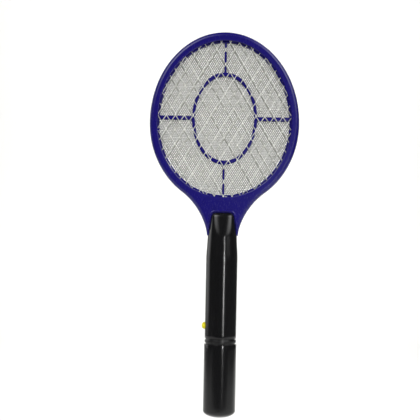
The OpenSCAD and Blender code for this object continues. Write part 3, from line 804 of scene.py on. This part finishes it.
def expanded_sheet(y, cell_w, cell_h, strand, thickness, raise_by, edge_inset, jitter, seed, soften=0.0):
    """Expanded metal: short upright bonds joined by slanted, twisted strands, cut off along the oval."""
    shake = random.Random(seed)
    columns = int(HEAD_A / (cell_w / 2)) + 2
    rows = int(max(HEAD_TOP, HEAD_BOTTOM) / (cell_h / 2)) + 2
    knots = {}
    for i in range(-columns, columns + 1):
        for j in range(-rows, rows + 1):
            if (i + j) % 2:
                continue
            knots[i, j] = Vector((
                i * cell_w / 2 + shake.uniform(-jitter, jitter), 0,
                HEAD_Z + j * cell_h / 2 + shake.uniform(-jitter, jitter),
            ))
    bm = bmesh.new()
    bond = BOND_REACH * strand
    lean = Vector((0, raise_by, bond))
    for (i, j), knot in knots.items():
        here = inside_oval(knot.x, knot.z, edge_inset)
        if here:
            middle = knot + AXIS_Y * y
            facing = lean.cross(AXIS_X).normalized()
            bar(bm, middle - lean, middle + lean, AXIS_X, facing, strand * BOND_WIDTH, thickness / 2)
        for side in (-1, 1):
            other = knots.get((i + side, j + 1))
            if other is None:
                continue
            there = inside_oval(other.x, other.z, edge_inset)
            if not here and not there:
                continue
            start = knot + AXIS_Y * y + lean * 0.82 + Vector((side * strand * 0.4, 0, 0))
            end = other + AXIS_Y * y - lean * 0.82 - Vector((side * strand * 0.4, 0, 0))
            if here != there:  # the strand crosses the cut: halve the way there until its end is found
                low, high = (start, end) if here else (end, start)
                near, far = 0.0, 1.0
                for _ in range(12):
                    share = (near + far) / 2
                    p = low.lerp(high, share)
                    near, far = (share, far) if inside_oval(p.x, p.z, edge_inset) else (near, share)
                tip = low.lerp(high, max(0.06, near + shake.uniform(-0.05, 0.02)))
                start, end = (low, tip) if here else (tip, low)
            along = (end - start).normalized()
            flat = along.cross(AXIS_Y).normalized()
            tilt = side * math.radians(STRAND_TILT + shake.uniform(-TILT_SPREAD, TILT_SPREAD))
            twist = Matrix.Rotation(tilt, 3, along)
            bar(bm, start, end, twist @ flat, twist @ AXIS_Y, strand / 2, thickness / 2)
    if soften:
        long_edges = [e for e in bm.edges if e.calc_length() > bond * 0.9]
        bmesh.ops.bevel(bm, geom=long_edges, offset=soften, segments=1, affect="EDGES")
    bmesh.ops.recalc_face_normals(bm, faces=bm.faces)
    return bm


def grid_tab(bm, name):
    """A flat solder tab below a grid, where the CAD node has it."""
    low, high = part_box(name)
    x, y = 3.5 * MM, (low.y + high.y) / 2
    bottom, top, half_w, half_t = 275 * MM, 287 * MM, 1.5 * MM, 0.25 * MM
    bar(bm, Vector((x, y, bottom)), Vector((x, y, top)), AXIS_X, AXIS_Y, half_w, half_t)


def make_outer_grids(sizes):
    """The two coarse expanded sheets, each with a solder tab."""
    for seed, name in ((11, "front_grid"), (12, "back_grid")):
        low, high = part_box(name)
        bm = expanded_sheet(
            (low.y + high.y) / 2, sizes.cell_width, sizes.cell_height, sizes.strand, 0.5 * MM,
            0.28 * MM, OUTER_INSET, 0.3 * MM, seed, 0.08 * MM,
        )
        grid_tab(bm, name)
        mesh = to_mesh(bm, name)
        link(name + "_sheet", mesh, "sheet_aluminium", RACKET, [name], 20)


def make_inner_grid(sizes):
    """The fine charged sheet in the middle, cut a little smaller than the opening."""
    bm = expanded_sheet(
        0, sizes.cell_width * FINE_SHARE, sizes.cell_height * FINE_SHARE, sizes.fine_strand, 0.4 * MM,
        0.22 * MM, sizes.rim_width + FINE_GAP, 0.16 * MM, 13,
    )
    mesh = to_mesh(bm, "inner_grid")
    link("inner_grid_sheet", mesh, "fine_aluminium", RACKET, ["inner_grid"], 20)


# ---- handle


TONGUE_SUNK = 0.25 * MM  # how far the tongue's edge stands below the throat's face
TONGUE_PROUD = 4.4 * MM  # how far the tongue's end stands over it


def shell_row(z, side, rim_width, steps):
    """One row of the shell's outer surface at height z, from one edge to the other: a half circle
    that turns into a flatter, squarer arch along the tongue."""
    reach, lift = 1, 1  # how much of the width and of the height the rounded end leaves
    if z <= NECK_Z:
        share = max(0, (z - TAPER_Z) / (NECK_Z - TAPER_Z))
        radius = HANDLE_R + (NECK_R - HANDLE_R) * share
        width, depth, base, power = radius, radius, HALF_PARTING, 2.0
    else:
        share = (z - NECK_Z) / (TONGUE_TOP - NECK_Z)
        full = tongue_half_width(z)
        base = throat_half(z, rim_width) - TONGUE_SUNK
        depth = NECK_R + (throat_half(TONGUE_TOP, rim_width) + TONGUE_PROUD - NECK_R) * share ** 1.15
        power = 2.0 + 1.6 * share
        width = full / (1 - (base / depth) ** power) ** (1 / power)
        down = max(0, z - (TONGUE_TOP - TONGUE_CORNER))
        reach = (full - TONGUE_CORNER + math.sqrt(max(0, TONGUE_CORNER ** 2 - down ** 2))) / full
        down = max(0, z - (TONGUE_TOP - TONGUE_ROLL))
        lift = math.sqrt(max(0, 1 - (down / TONGUE_ROLL) ** 2))
    full = width * (1 - (base / depth) ** power) ** (1 / power)
    row = []
    for k in range(steps + 1):
        s = -math.cos(math.pi * k / steps)
        across = min(1, abs(s * full / width))
        y = base + max(0, depth * (1 - across ** power) ** (1 / power) - base) * lift
        row.append(Vector((s * full * reach, side * y, z)))
    return row


def shell_heights():
    """Heights of the shell's rows, closer together where it bends."""
    straight = [SHELL_BOTTOM + (TAPER_Z - SHELL_BOTTOM) * i / 26 for i in range(27)]
    taper = [TAPER_Z + (NECK_Z - 0.2 * MM - TAPER_Z) * i / 10 for i in range(1, 11)]
    tip_z = TONGUE_TOP - TONGUE_CORNER
    tongue = [NECK_Z + 0.05 * MM + (tip_z - NECK_Z) * i / 18 for i in range(19)]
    tip = [tip_z + TONGUE_CORNER * math.sin(math.radians(90 * i / 14)) for i in range(1, 15)]
    return straight + taper + tongue + tip


def screw_well(bm, x, z, seat, hole_r, head_r, depth):
    """Adds a screw's cutter: a through hole in front of its seat and a wider well behind it."""
    hole = 8 * MM
    profile = [(0, -hole), (hole_r, -hole), (hole_r, 0), (head_r, 0), (head_r, depth), (0, depth)]
    lathe(bm, profile, facing_back(x, z, seat), 32)


def make_shells(sizes):
    """The two handle shells: half tubes whose tongues lap over the throat, with the button's hole
    and, behind, the screw wells."""
    hole_r, hole_depth = 4.8 * MM, 8 * MM
    for side, name in ((-1, "handle_front_shell"), (1, "handle_back_shell")):
        bm = bmesh.new()
        rows = [shell_row(z, side, sizes.rim_width, 56) for z in shell_heights()]
        skin(bm, rows)
        if side > 0:
            bmesh.ops.reverse_faces(bm, faces=bm.faces)
        bmesh.ops.remove_doubles(bm, verts=bm.verts, dist=2e-6)
        piece = link(name + "_moulding", to_mesh(bm, name), "handle_abs", RACKET, [name])
        wall = piece.modifiers.new("wall", "SOLIDIFY")
        wall.thickness = WALL
        wall.offset = -1
        wall.use_even_offset = False
        add_bevel(piece, 0.35 * MM, 2, 60)
        apply_modifiers(piece)
        button_hole = bmesh.new()
        lathe(
            button_hole, [(0, 0), (hole_r, 0), (hole_r, hole_depth), (0, hole_depth)],
            placed((-HANDLE_R - 3 * MM, 0, BUTTON_Z), (0, math.pi / 2, 0)), 48,
        )
        cut(piece, button_hole)
        if side > 0:
            wells = bmesh.new()
            for x, z in SHELL_SCREWS:
                screw_well(wells, x * MM, z * MM, SHELL_SCREW_SEAT, 1.5 * MM, 2.6 * MM, 14 * MM)
            screw_well(wells, 0, TRAY_SCREW_Z, TRAY_WELL_SEAT, 1.3 * MM, 2.4 * MM, 3 * MM)
            cut(piece, wells)


def make_cover():
    """The battery cover: a deep cup with a domed end and a softened mouth."""
    radius, top = COVER_R, COVER_HIGH.z
    dome, bore, edge = 9 * MM, 18.4 * MM, 0.18 * MM
    end_wall, side_step = 2.4 * MM, 0.4 * MM
    outside = arc(0, dome, radius, dome, -90, 0, 30)
    barrel = [(radius, dome + (top - dome) * i / 12) for i in range(1, 12)]
    mouth = arc(radius - edge, top - edge, edge, edge, 0, 90, 5)
    mouth += arc(bore + edge, top - edge, edge, edge, 90, 180, 5)
    inside = arc(0, dome + side_step, bore, dome + side_step - end_wall, 0, -90, 15)
    bm = bmesh.new()
    lathe(bm, outside + barrel + mouth + inside, steps=144)
    weld(bm)
    mesh = to_mesh(bm, "cover")
    link("battery_cover_moulding", mesh, "handle_abs", COVER, ["battery_cover"])


def make_button():
    """The push button, a stem, a flange and a rounded cap, as distances from the handle's middle."""
    proud = -BUTTON_LOW.x
    stem_r, flange_r, cap_r, ease = 2 * MM, 6.5 * MM, 4.5 * MM, 0.3 * MM
    stem_end, flange_in, flange_out = 11.5 * MM, 15.6 * MM, 17 * MM
    round_r, round_h = 4.2 * MM, 3.1 * MM
    profile = [(0, stem_end), (stem_r - ease, stem_end), (stem_r, stem_end + ease), (stem_r, flange_in)]
    profile += [(flange_r - ease, flange_in), (flange_r, flange_in + ease), (flange_r, flange_out - ease)]
    profile += [(flange_r - ease, flange_out), (cap_r, flange_out)]
    profile += arc(cap_r - round_r, proud - round_h, round_r, round_h, 0, 84, 12) + [(0, proud)]
    bm = bmesh.new()
    lathe(bm, profile, placed((0, 0, BUTTON_Z), (0, -math.pi / 2, 0)), 64)
    weld(bm)
    link("push_button_cap", to_mesh(bm, "button"), "button_abs", BUTTON, ["push_button"])


# ---- fasteners and springs


PITCH = 1.0 * MM  # of the screws' threads


def pan_screw(bm, x, z, seat, length, shank, head, height):
    """A self-tapping screw along -Y: a domed head with a cross recess, a threaded shank and a point."""
    start = len(bm.verts)
    matrix = facing_back(x, z, seat)
    point, thread_start, recess = 0.6 * MM, 1.2 * MM, 0.42 * head
    turns = int((length - 1.6 * MM) / (PITCH / 2))
    rings = [(0, -length), (shank * 0.25, -length + point)]
    rings += [
        (shank * (0.78 if k % 2 else 1.0), -length + thread_start + k * PITCH / 2) for k in range(turns)
    ]
    rings += [(shank * 0.85, 0), (head, 0)] + arc(0, 0.35 * height, head, 0.65 * height, 0, 84, 7)
    rings += [(recess * 0.9, height), (recess * 0.35, height - 0.5 * MM), (0, height - 0.75 * MM)]
    lathe(bm, rings, matrix, 32)
    bm.verts.ensure_lookup_table()
    for vert in bm.verts[start:]:
        local = matrix.inverted() @ vert.co
        radius = math.hypot(local.x, local.y)
        if local.z > height * 0.9 and radius > 1e-6:  # pull the recess out into four arms
            turn = math.atan2(local.y, local.x)
            reach = radius * (0.55 + 0.85 * abs(math.cos(2 * turn)) ** 3)
            local.x, local.y = reach * math.cos(turn), reach * math.sin(turn)
            vert.co = matrix @ local


def make_screws():
    """All the screws, one piece for each group of like ones."""
    shell_places = [(x * MM, z * MM) for x, z in SHELL_SCREWS]
    groups = {
        # name: places, seat, then length, shank radius, head radius and head height in mm
        "head_screws": (rim_screw_places(), RIM_SCREW_SEAT, (11, 1.05, 2.0, 1.7)),
        "handle_screws": (shell_places, SHELL_SCREW_SEAT, (17, 1.2, 2.3, 1.9)),
        "tray_screw": ([(0, TRAY_SCREW_Z)], TRAY_SCREW_SEAT, (8, 1.05, 2.1, 1.1)),
    }
    for name, (places, seat, shape) in groups.items():
        bm = bmesh.new()
        for x, z in places:
            pan_screw(bm, x, z, seat, *[size * MM for size in shape])
        weld(bm)
        link(name + "_set", to_mesh(bm, name), "zinc_steel", RACKET, [name], 40)


def helix(low, high, start_r, end_r, turns, wire):
    """Points of a coil spring round Z between two heights."""
    steps = int(turns * 22)
    points = []
    for k in range(steps + 1):
        share = k / steps
        turn = 2 * math.pi * turns * share
        radius = start_r + (end_r - start_r) * share
        rise = low + wire + (high - low - 2 * wire) * share
        points.append(Vector((radius * math.cos(turn), radius * math.sin(turn), rise)))
    return points


def make_springs():
    """The button's return spring, and the cell contacts with their cone springs."""
    low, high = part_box("button_spring")
    coil_r, wire = 3.2 * MM, 0.3 * MM
    coil = helix(low.x, high.x, coil_r, coil_r, 3.5, wire)
    bm = bmesh.new()
    tube(bm, [p.zxy + BUTTON_Z * AXIS_Z for p in coil], wire)
    mesh = to_mesh(bm, "spring")
    spring = link("button_return_spring", mesh, "nickel_steel", RACKET, ["button_spring"])
    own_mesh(spring)

    half_t, cone_wire, tray_top, tag_top = 0.2 * MM, 0.4 * MM, 79.1 * MM, 91 * MM
    tag_y, face_y = 4.9 * MM, 0.3 * MM
    contacts = {
        # name: where the plate's middle is, and the cone spring's middle, ends and end radii in mm
        "positive_contact": (-CELL_X, None, ()),
        "negative_contact": (CELL_X, CELL_X, (70.2, 78.1, 3.0, 4.4)),
        "bridge_contact": (0, -CELL_X, (18.7, 27.9, 4.4, 3.0)),
    }
    for name, (x, cone_x, cone) in contacts.items():
        bm = bmesh.new()
        if x:
            y, face, half_w, half_d = face_y, tray_top - half_t, 4.5 * MM, 4.8 * MM
        else:
            y, face, half_w, half_d = 0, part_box(name)[0].z + half_t, 12.6 * MM, 4 * MM
        left, right = Vector((x - half_w, y, face)), Vector((x + half_w, y, face))
        bar(bm, left, right, AXIS_Y, AXIS_Z, half_d, half_t)
        if x:
            bar(bm, Vector((x, tag_y, face)), Vector((x, tag_y, tag_top)), AXIS_X, AXIS_Y, 1 * MM, half_t)
        if cone:
            points = helix(*[size * MM for size in cone], 4.5, cone_wire)
            tube(bm, [p + cone_x * AXIS_X for p in points], cone_wire)
        bmesh.ops.recalc_face_normals(bm, faces=bm.faces)
        link(name + "_plate", to_mesh(bm, name), "tinned_brass", RACKET, [name])


def make_cells():
    """The two cells: a sleeved can with crimped ends and a positive nub."""
    for name, flipped in (("battery_1", False), ("battery_2", True)):
        low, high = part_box(name)
        centre = (low + high) / 2
        length, radius = high.z - low.z, (high.x - low.x) / 2
        can, crimp, shoulder, ease, nub = length - 1.3 * MM, 0.7 * MM, 0.8 * MM, 0.25 * MM, 2.75 * MM
        profile = [(0, ease), (4.6 * MM, ease), (4.9 * MM, 0), (radius - crimp, 0)]
        profile += arc(radius - crimp, crimp, crimp, crimp, -60, 0, 4)
        profile += [(radius, can * i / 10) for i in range(1, 10)]
        profile += arc(radius - shoulder, can - shoulder, shoulder, shoulder, 0, 70, 4)
        profile += [(radius - 2 * shoulder, can - ease), (3.6 * MM, can - ease), (2.9 * MM, can)]
        profile += [(nub, can + 0.2 * MM), (nub, length - 0.35 * MM)]
        profile += [(nub - 0.35 * MM, length), (0, length)]
        start = Vector((centre.x, centre.y, high.z if flipped else low.z))
        matrix = placed(start, (math.pi if flipped else 0, 0, 0))
        bm = bmesh.new()
        lathe(bm, profile, matrix, 64)
        weld(bm)
        uv = bm.loops.layers.uv.new("UVMap")
        inverse = matrix.inverted()
        for face in bm.faces:
            middle = inverse @ face.calc_center_median()
            sleeved = math.hypot(middle.x, middle.y) > radius - 1.8 * MM
            face.material_index = 0 if sleeved else 1
            for loop in face.loops:
                p = inverse @ loop.vert.co
                loop[uv].uv = (math.atan2(p.y, p.x) / (2 * math.pi) + 0.5, p.z / length)
        mesh = to_mesh(bm, name)
        mesh.materials.append(material("cell_sleeve"))
        mesh.materials.append(material("nickel_steel"))
        link(name + "_cell", mesh, "cell_sleeve", RACKET, [name])


# ---- inner parts kept from the frame


INNER_PARTS = {
    # node: material, finish slot, edge rounding in mm
    "battery_tray": ("tray_abs", "black_abs", 0.15),
    "circuit_board": ("board_paper", "phenolic_board", 0.08),
    "transformer_core": ("ferrite", "ferrite", 0.35),
    "transformer_bobbin": ("bobbin_nylon", "bobbin_nylon", 0.12),
    "transformer_winding": ("winding_tape", "winding_tape", 0.7),
    "hv_capacitor": ("red_epoxy", "dipped_epoxy", 1.2),
    "multiplier_capacitors": ("blue_epoxy", "blue_epoxy", 0.9),
    "transistor": ("black_epoxy", "black_epoxy", 0.2),
    "rectifier_diodes": ("black_epoxy", "black_epoxy", 0.2),
    "resistors": ("tan_epoxy", "tan_epoxy", 0.35),
    "switch_body": ("black_epoxy", "black_epoxy", 0.25),
    "switch_plunger": ("bobbin_nylon", "switch_nylon", 0.2),
    "button_guide": ("tray_abs", "black_abs", 0.2),
    "board_screws": ("zinc_steel", "zinc_steel", 0.05),
    "inner_grid_tab": ("tinned_brass", "tinned_brass", 0.08),
    "battery_lead_positive": ("red_pvc", "red_pvc", 0),
    "battery_lead_negative": ("black_pvc", "black_pvc", 0),
    "hv_lead": ("red_pvc", "red_pvc", 0),
    "ground_lead": ("black_pvc", "black_pvc", 0),
    "grid_link_lead": ("black_pvc", "black_pvc", 0),
}


def make_inner_parts():
    """The parts inside the handle: the frame's own shapes with their edges rounded."""
    for name, (key, slot, edge) in INNER_PARTS.items():
        body = BUTTON if name == "switch_plunger" else RACKET
        bm = bmesh.new()
        bm.from_mesh(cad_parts[name].data)
        bmesh.ops.remove_doubles(bm, verts=bm.verts, dist=2e-6)
        bmesh.ops.dissolve_limit(bm, angle_limit=math.radians(1), verts=bm.verts, edges=bm.edges)
        mesh = to_mesh(bm, name)
        mesh.materials.clear()
        piece = link(name + "_part", mesh, key, body, [name])
        if edge:
            add_bevel(piece, edge * MM, 3, 40)
            apply_modifiers(piece, 40)


# ---- stage


FLOOR_Z = -0.16
SWEEP_HALF, SWEEP_FRONT, SWEEP_BACK, SWEEP_TOP = 1.6, -0.8, 3.2, 4.0
SWEEP_BEND = 1.0  # radius between the floor and the wall
SIGHT_X, SIGHT_Z = -0.0166, 0.2691  # the camera looks level from here
DISTANCE = 1.6
FIELD = 0.546  # width that the picture takes in at the swatter
ROLL = math.radians(1.1)


def backdrop_material():
    """Matte white seamless paper, with its fine tooth."""
    paper, tree, shader, coords = new_material("seamless_paper")
    tooth = add_node(tree, "ShaderNodeTexNoise", {"Vector": coords, "Scale": 1 / (2 * MM), "Detail": 2.0})
    bump = add_node(
        tree, "ShaderNodeBump", {"Height": tooth.outputs[0], "Strength": 0.05, "Distance": 0.05 * MM}
    )
    set_inputs(tree, shader, {
        "Base Color": (*linear("#f7f7f5"), 1), "Roughness": 0.9, "Normal": bump.outputs[0],
    })
    return paper


def area_light(name, place, aim, size_x, size_y, power, spread=180):
    """A soft rectangular light, whose spread is in degrees."""
    data = bpy.data.lights.new(name, "AREA")
    data.shape = "RECTANGLE"
    data.size, data.size_y = size_x, size_y
    data.energy = power
    data.spread = math.radians(spread)
    lamp = bpy.data.objects.new(name, data)
    lamp.location = place
    lamp.rotation_euler = (Vector(aim) - Vector(place)).to_track_quat("-Z", "Y").to_euler()
    bpy.context.scene.collection.objects.link(lamp)


def make_stage():
    """A white paper sweep, soft studio lights and the camera."""
    scene = bpy.context.scene
    bm = bmesh.new()
    bend = arc(SWEEP_BACK - SWEEP_BEND, FLOOR_Z + SWEEP_BEND, SWEEP_BEND, SWEEP_BEND, -90, 0, 15)
    profile = [(SWEEP_FRONT, FLOOR_Z), *bend, (SWEEP_BACK, SWEEP_TOP)]
    skin(bm, [[Vector((x, y, z)) for x in (-SWEEP_HALF, SWEEP_HALF)] for y, z in profile])
    bmesh.ops.recalc_face_normals(bm, faces=bm.faces)
    sweep = bpy.data.objects.new("paper_sweep", to_mesh(bm, "paper_sweep"))
    scene.collection.objects.link(sweep)
    sweep.data.materials.append(backdrop_material())
    sweep.data.polygons.foreach_set("use_smooth", [True] * len(sweep.data.polygons))

    # a narrow light whose reflection runs down the handle
    area_light("strip", (0.5, -1.55, 0.16), (0, 0, 0.16), 0.04, 0.42, 0.3, 60)
    # two large front lights, and weak ones that lift the left side and the back
    area_light("key", (-1.3, -1.5, 1.9), (0, 0, 0.3), 3.6, 2.8, 17.5, 60)
    area_light("fill", (1.6, -1.4, 1.6), (0, 0, 0.3), 3.2, 2.6, 13, 60)
    area_light("side", (-1.3, 0.7, 0.42), (0, 0, 0.2), 1.2, 0.9, 0.5, 60)
    area_light("rear", (0.9, 1.7, 1.8), (0, 0, 0.25), 1.6, 1.2, 3, 100)
    # an even wash over the paper's wall and floor
    area_light("back_wash", (0, 0.8, 2.2), (0, 3.2, 0.9), 2.4, 0.8, 23, 90)
    area_light("floor_wash", (0, 1.5, 1.3), (0, 1.4, 0), 2.4, 0.6, 9.5, 140)

    world = bpy.data.worlds.new("studio")
    scene.world = world
    world.use_nodes = True
    background = world.node_tree.nodes["Background"]
    set_inputs(world.node_tree, background, {"Color": (1, 1, 1, 1), "Strength": 0.09})
    scene.view_settings.view_transform = "Standard"

    data = bpy.data.cameras.new("camera")
    data.sensor_width = 36
    data.lens = data.sensor_width * DISTANCE / FIELD
    data.clip_start, data.clip_end = 0.05, 20
    camera = bpy.data.objects.new("camera", data)
    scene.collection.objects.link(camera)
    level = placed((SIGHT_X, -DISTANCE, SIGHT_Z), (math.pi / 2, 0, 0))
    camera.matrix_world = level @ Matrix.Rotation(ROLL, 4, "Z")
    scene.camera = camera


# ---- operators and panel


class SWATTER_OT_rims(bpy.types.Operator):
    """Build the two halves of the head's rim"""

    bl_idname = "swatter.rims"
    bl_label = "Rims"
    bl_options = {"REGISTER", "UNDO"}

    def execute(self, context):
        make_rims(context.scene.swatter_sizes)
        return {"FINISHED"}


class SWATTER_OT_ribs(bpy.types.Operator):
    """Build the two rib frames"""

    bl_idname = "swatter.ribs"
    bl_label = "Rib frames"
    bl_options = {"REGISTER", "UNDO"}

    def execute(self, context):
        make_ribs(context.scene.swatter_sizes)
        return {"FINISHED"}


class SWATTER_OT_outer_grids(bpy.types.Operator):
    """Build the two outer expanded-metal grids"""

    bl_idname = "swatter.outer_grids"
    bl_label = "Outer grids"
    bl_options = {"REGISTER", "UNDO"}

    def execute(self, context):
        make_outer_grids(context.scene.swatter_sizes)
        return {"FINISHED"}


class SWATTER_OT_inner_grid(bpy.types.Operator):
    """Build the fine charged grid"""

    bl_idname = "swatter.inner_grid"
    bl_label = "Inner grid"
    bl_options = {"REGISTER", "UNDO"}

    def execute(self, context):
        make_inner_grid(context.scene.swatter_sizes)
        return {"FINISHED"}


class SWATTER_OT_shells(bpy.types.Operator):
    """Build the two handle shells"""

    bl_idname = "swatter.shells"
    bl_label = "Handle shells"
    bl_options = {"REGISTER", "UNDO"}

    def execute(self, context):
        make_shells(context.scene.swatter_sizes)
        return {"FINISHED"}


class SWATTER_OT_cover(bpy.types.Operator):
    """Build the battery cover"""

    bl_idname = "swatter.cover"
    bl_label = "Battery cover"
    bl_options = {"REGISTER", "UNDO"}

    def execute(self, context):
        make_cover()
        return {"FINISHED"}


class SWATTER_OT_button(bpy.types.Operator):
    """Build the push button"""

    bl_idname = "swatter.button"
    bl_label = "Push button"
    bl_options = {"REGISTER", "UNDO"}

    def execute(self, context):
        make_button()
        return {"FINISHED"}


class SWATTER_OT_screws(bpy.types.Operator):
    """Build the screws"""

    bl_idname = "swatter.screws"
    bl_label = "Screws"
    bl_options = {"REGISTER", "UNDO"}

    def execute(self, context):
        make_screws()
        return {"FINISHED"}


class SWATTER_OT_springs(bpy.types.Operator):
    """Build the button's spring and the cell contacts"""

    bl_idname = "swatter.springs"
    bl_label = "Springs and contacts"
    bl_options = {"REGISTER", "UNDO"}

    def execute(self, context):
        make_springs()
        return {"FINISHED"}


class SWATTER_OT_cells(bpy.types.Operator):
    """Build the two cells"""

    bl_idname = "swatter.cells"
    bl_label = "Cells"
    bl_options = {"REGISTER", "UNDO"}

    def execute(self, context):
        make_cells()
        return {"FINISHED"}


class SWATTER_OT_inner_parts(bpy.types.Operator):
    """Finish the tray, the board and the other inner parts"""

    bl_idname = "swatter.inner_parts"
    bl_label = "Inner parts"
    bl_options = {"REGISTER", "UNDO"}

    def execute(self, context):
        make_inner_parts()
        return {"FINISHED"}


class SWATTER_OT_stage(bpy.types.Operator):
    """Set the paper sweep, the lights and the camera"""

    bl_idname = "swatter.stage"
    bl_label = "Stage"
    bl_options = {"REGISTER", "UNDO"}

    def execute(self, context):
        make_stage()
        return {"FINISHED"}


STEPS = (
    SWATTER_OT_stage, SWATTER_OT_rims, SWATTER_OT_ribs, SWATTER_OT_outer_grids, SWATTER_OT_inner_grid,
    SWATTER_OT_shells, SWATTER_OT_cover, SWATTER_OT_button, SWATTER_OT_screws, SWATTER_OT_springs,
    SWATTER_OT_cells, SWATTER_OT_inner_parts,
)


class SWATTER_PT_panel(bpy.types.Panel):
    """Lists the swatter's sizes, colours and building steps"""

    bl_idname = "SWATTER_PT_panel"
    bl_label = "Electric Fly Swatter"
    bl_space_type = "VIEW_3D"
    bl_region_type = "UI"
    bl_category = "Fly Swatter"

    def draw(self, context):
        for group in (context.scene.swatter_sizes, context.scene.swatter_colours):
            box = self.layout.box()
            for name in group.__annotations__:
                box.prop(group, name)
        for step in STEPS:
            self.layout.operator(step.bl_idname)


CLASSES = (SwatterSizes, SwatterColours, *STEPS, SWATTER_PT_panel)


def register():
    for cls in CLASSES:
        bpy.utils.register_class(cls)
    bpy.types.Scene.swatter_sizes = PointerProperty(type=SwatterSizes)
    bpy.types.Scene.swatter_colours = PointerProperty(type=SwatterColours)


def unregister():
    del bpy.types.Scene.swatter_colours
    del bpy.types.Scene.swatter_sizes
    for cls in reversed(CLASSES):
        bpy.utils.unregister_class(cls)


def main():
    register()
    for step in STEPS:
        group, name = step.bl_idname.split(".")
        getattr(getattr(bpy.ops, group), name)()


if __name__ == "__main__":
    main()
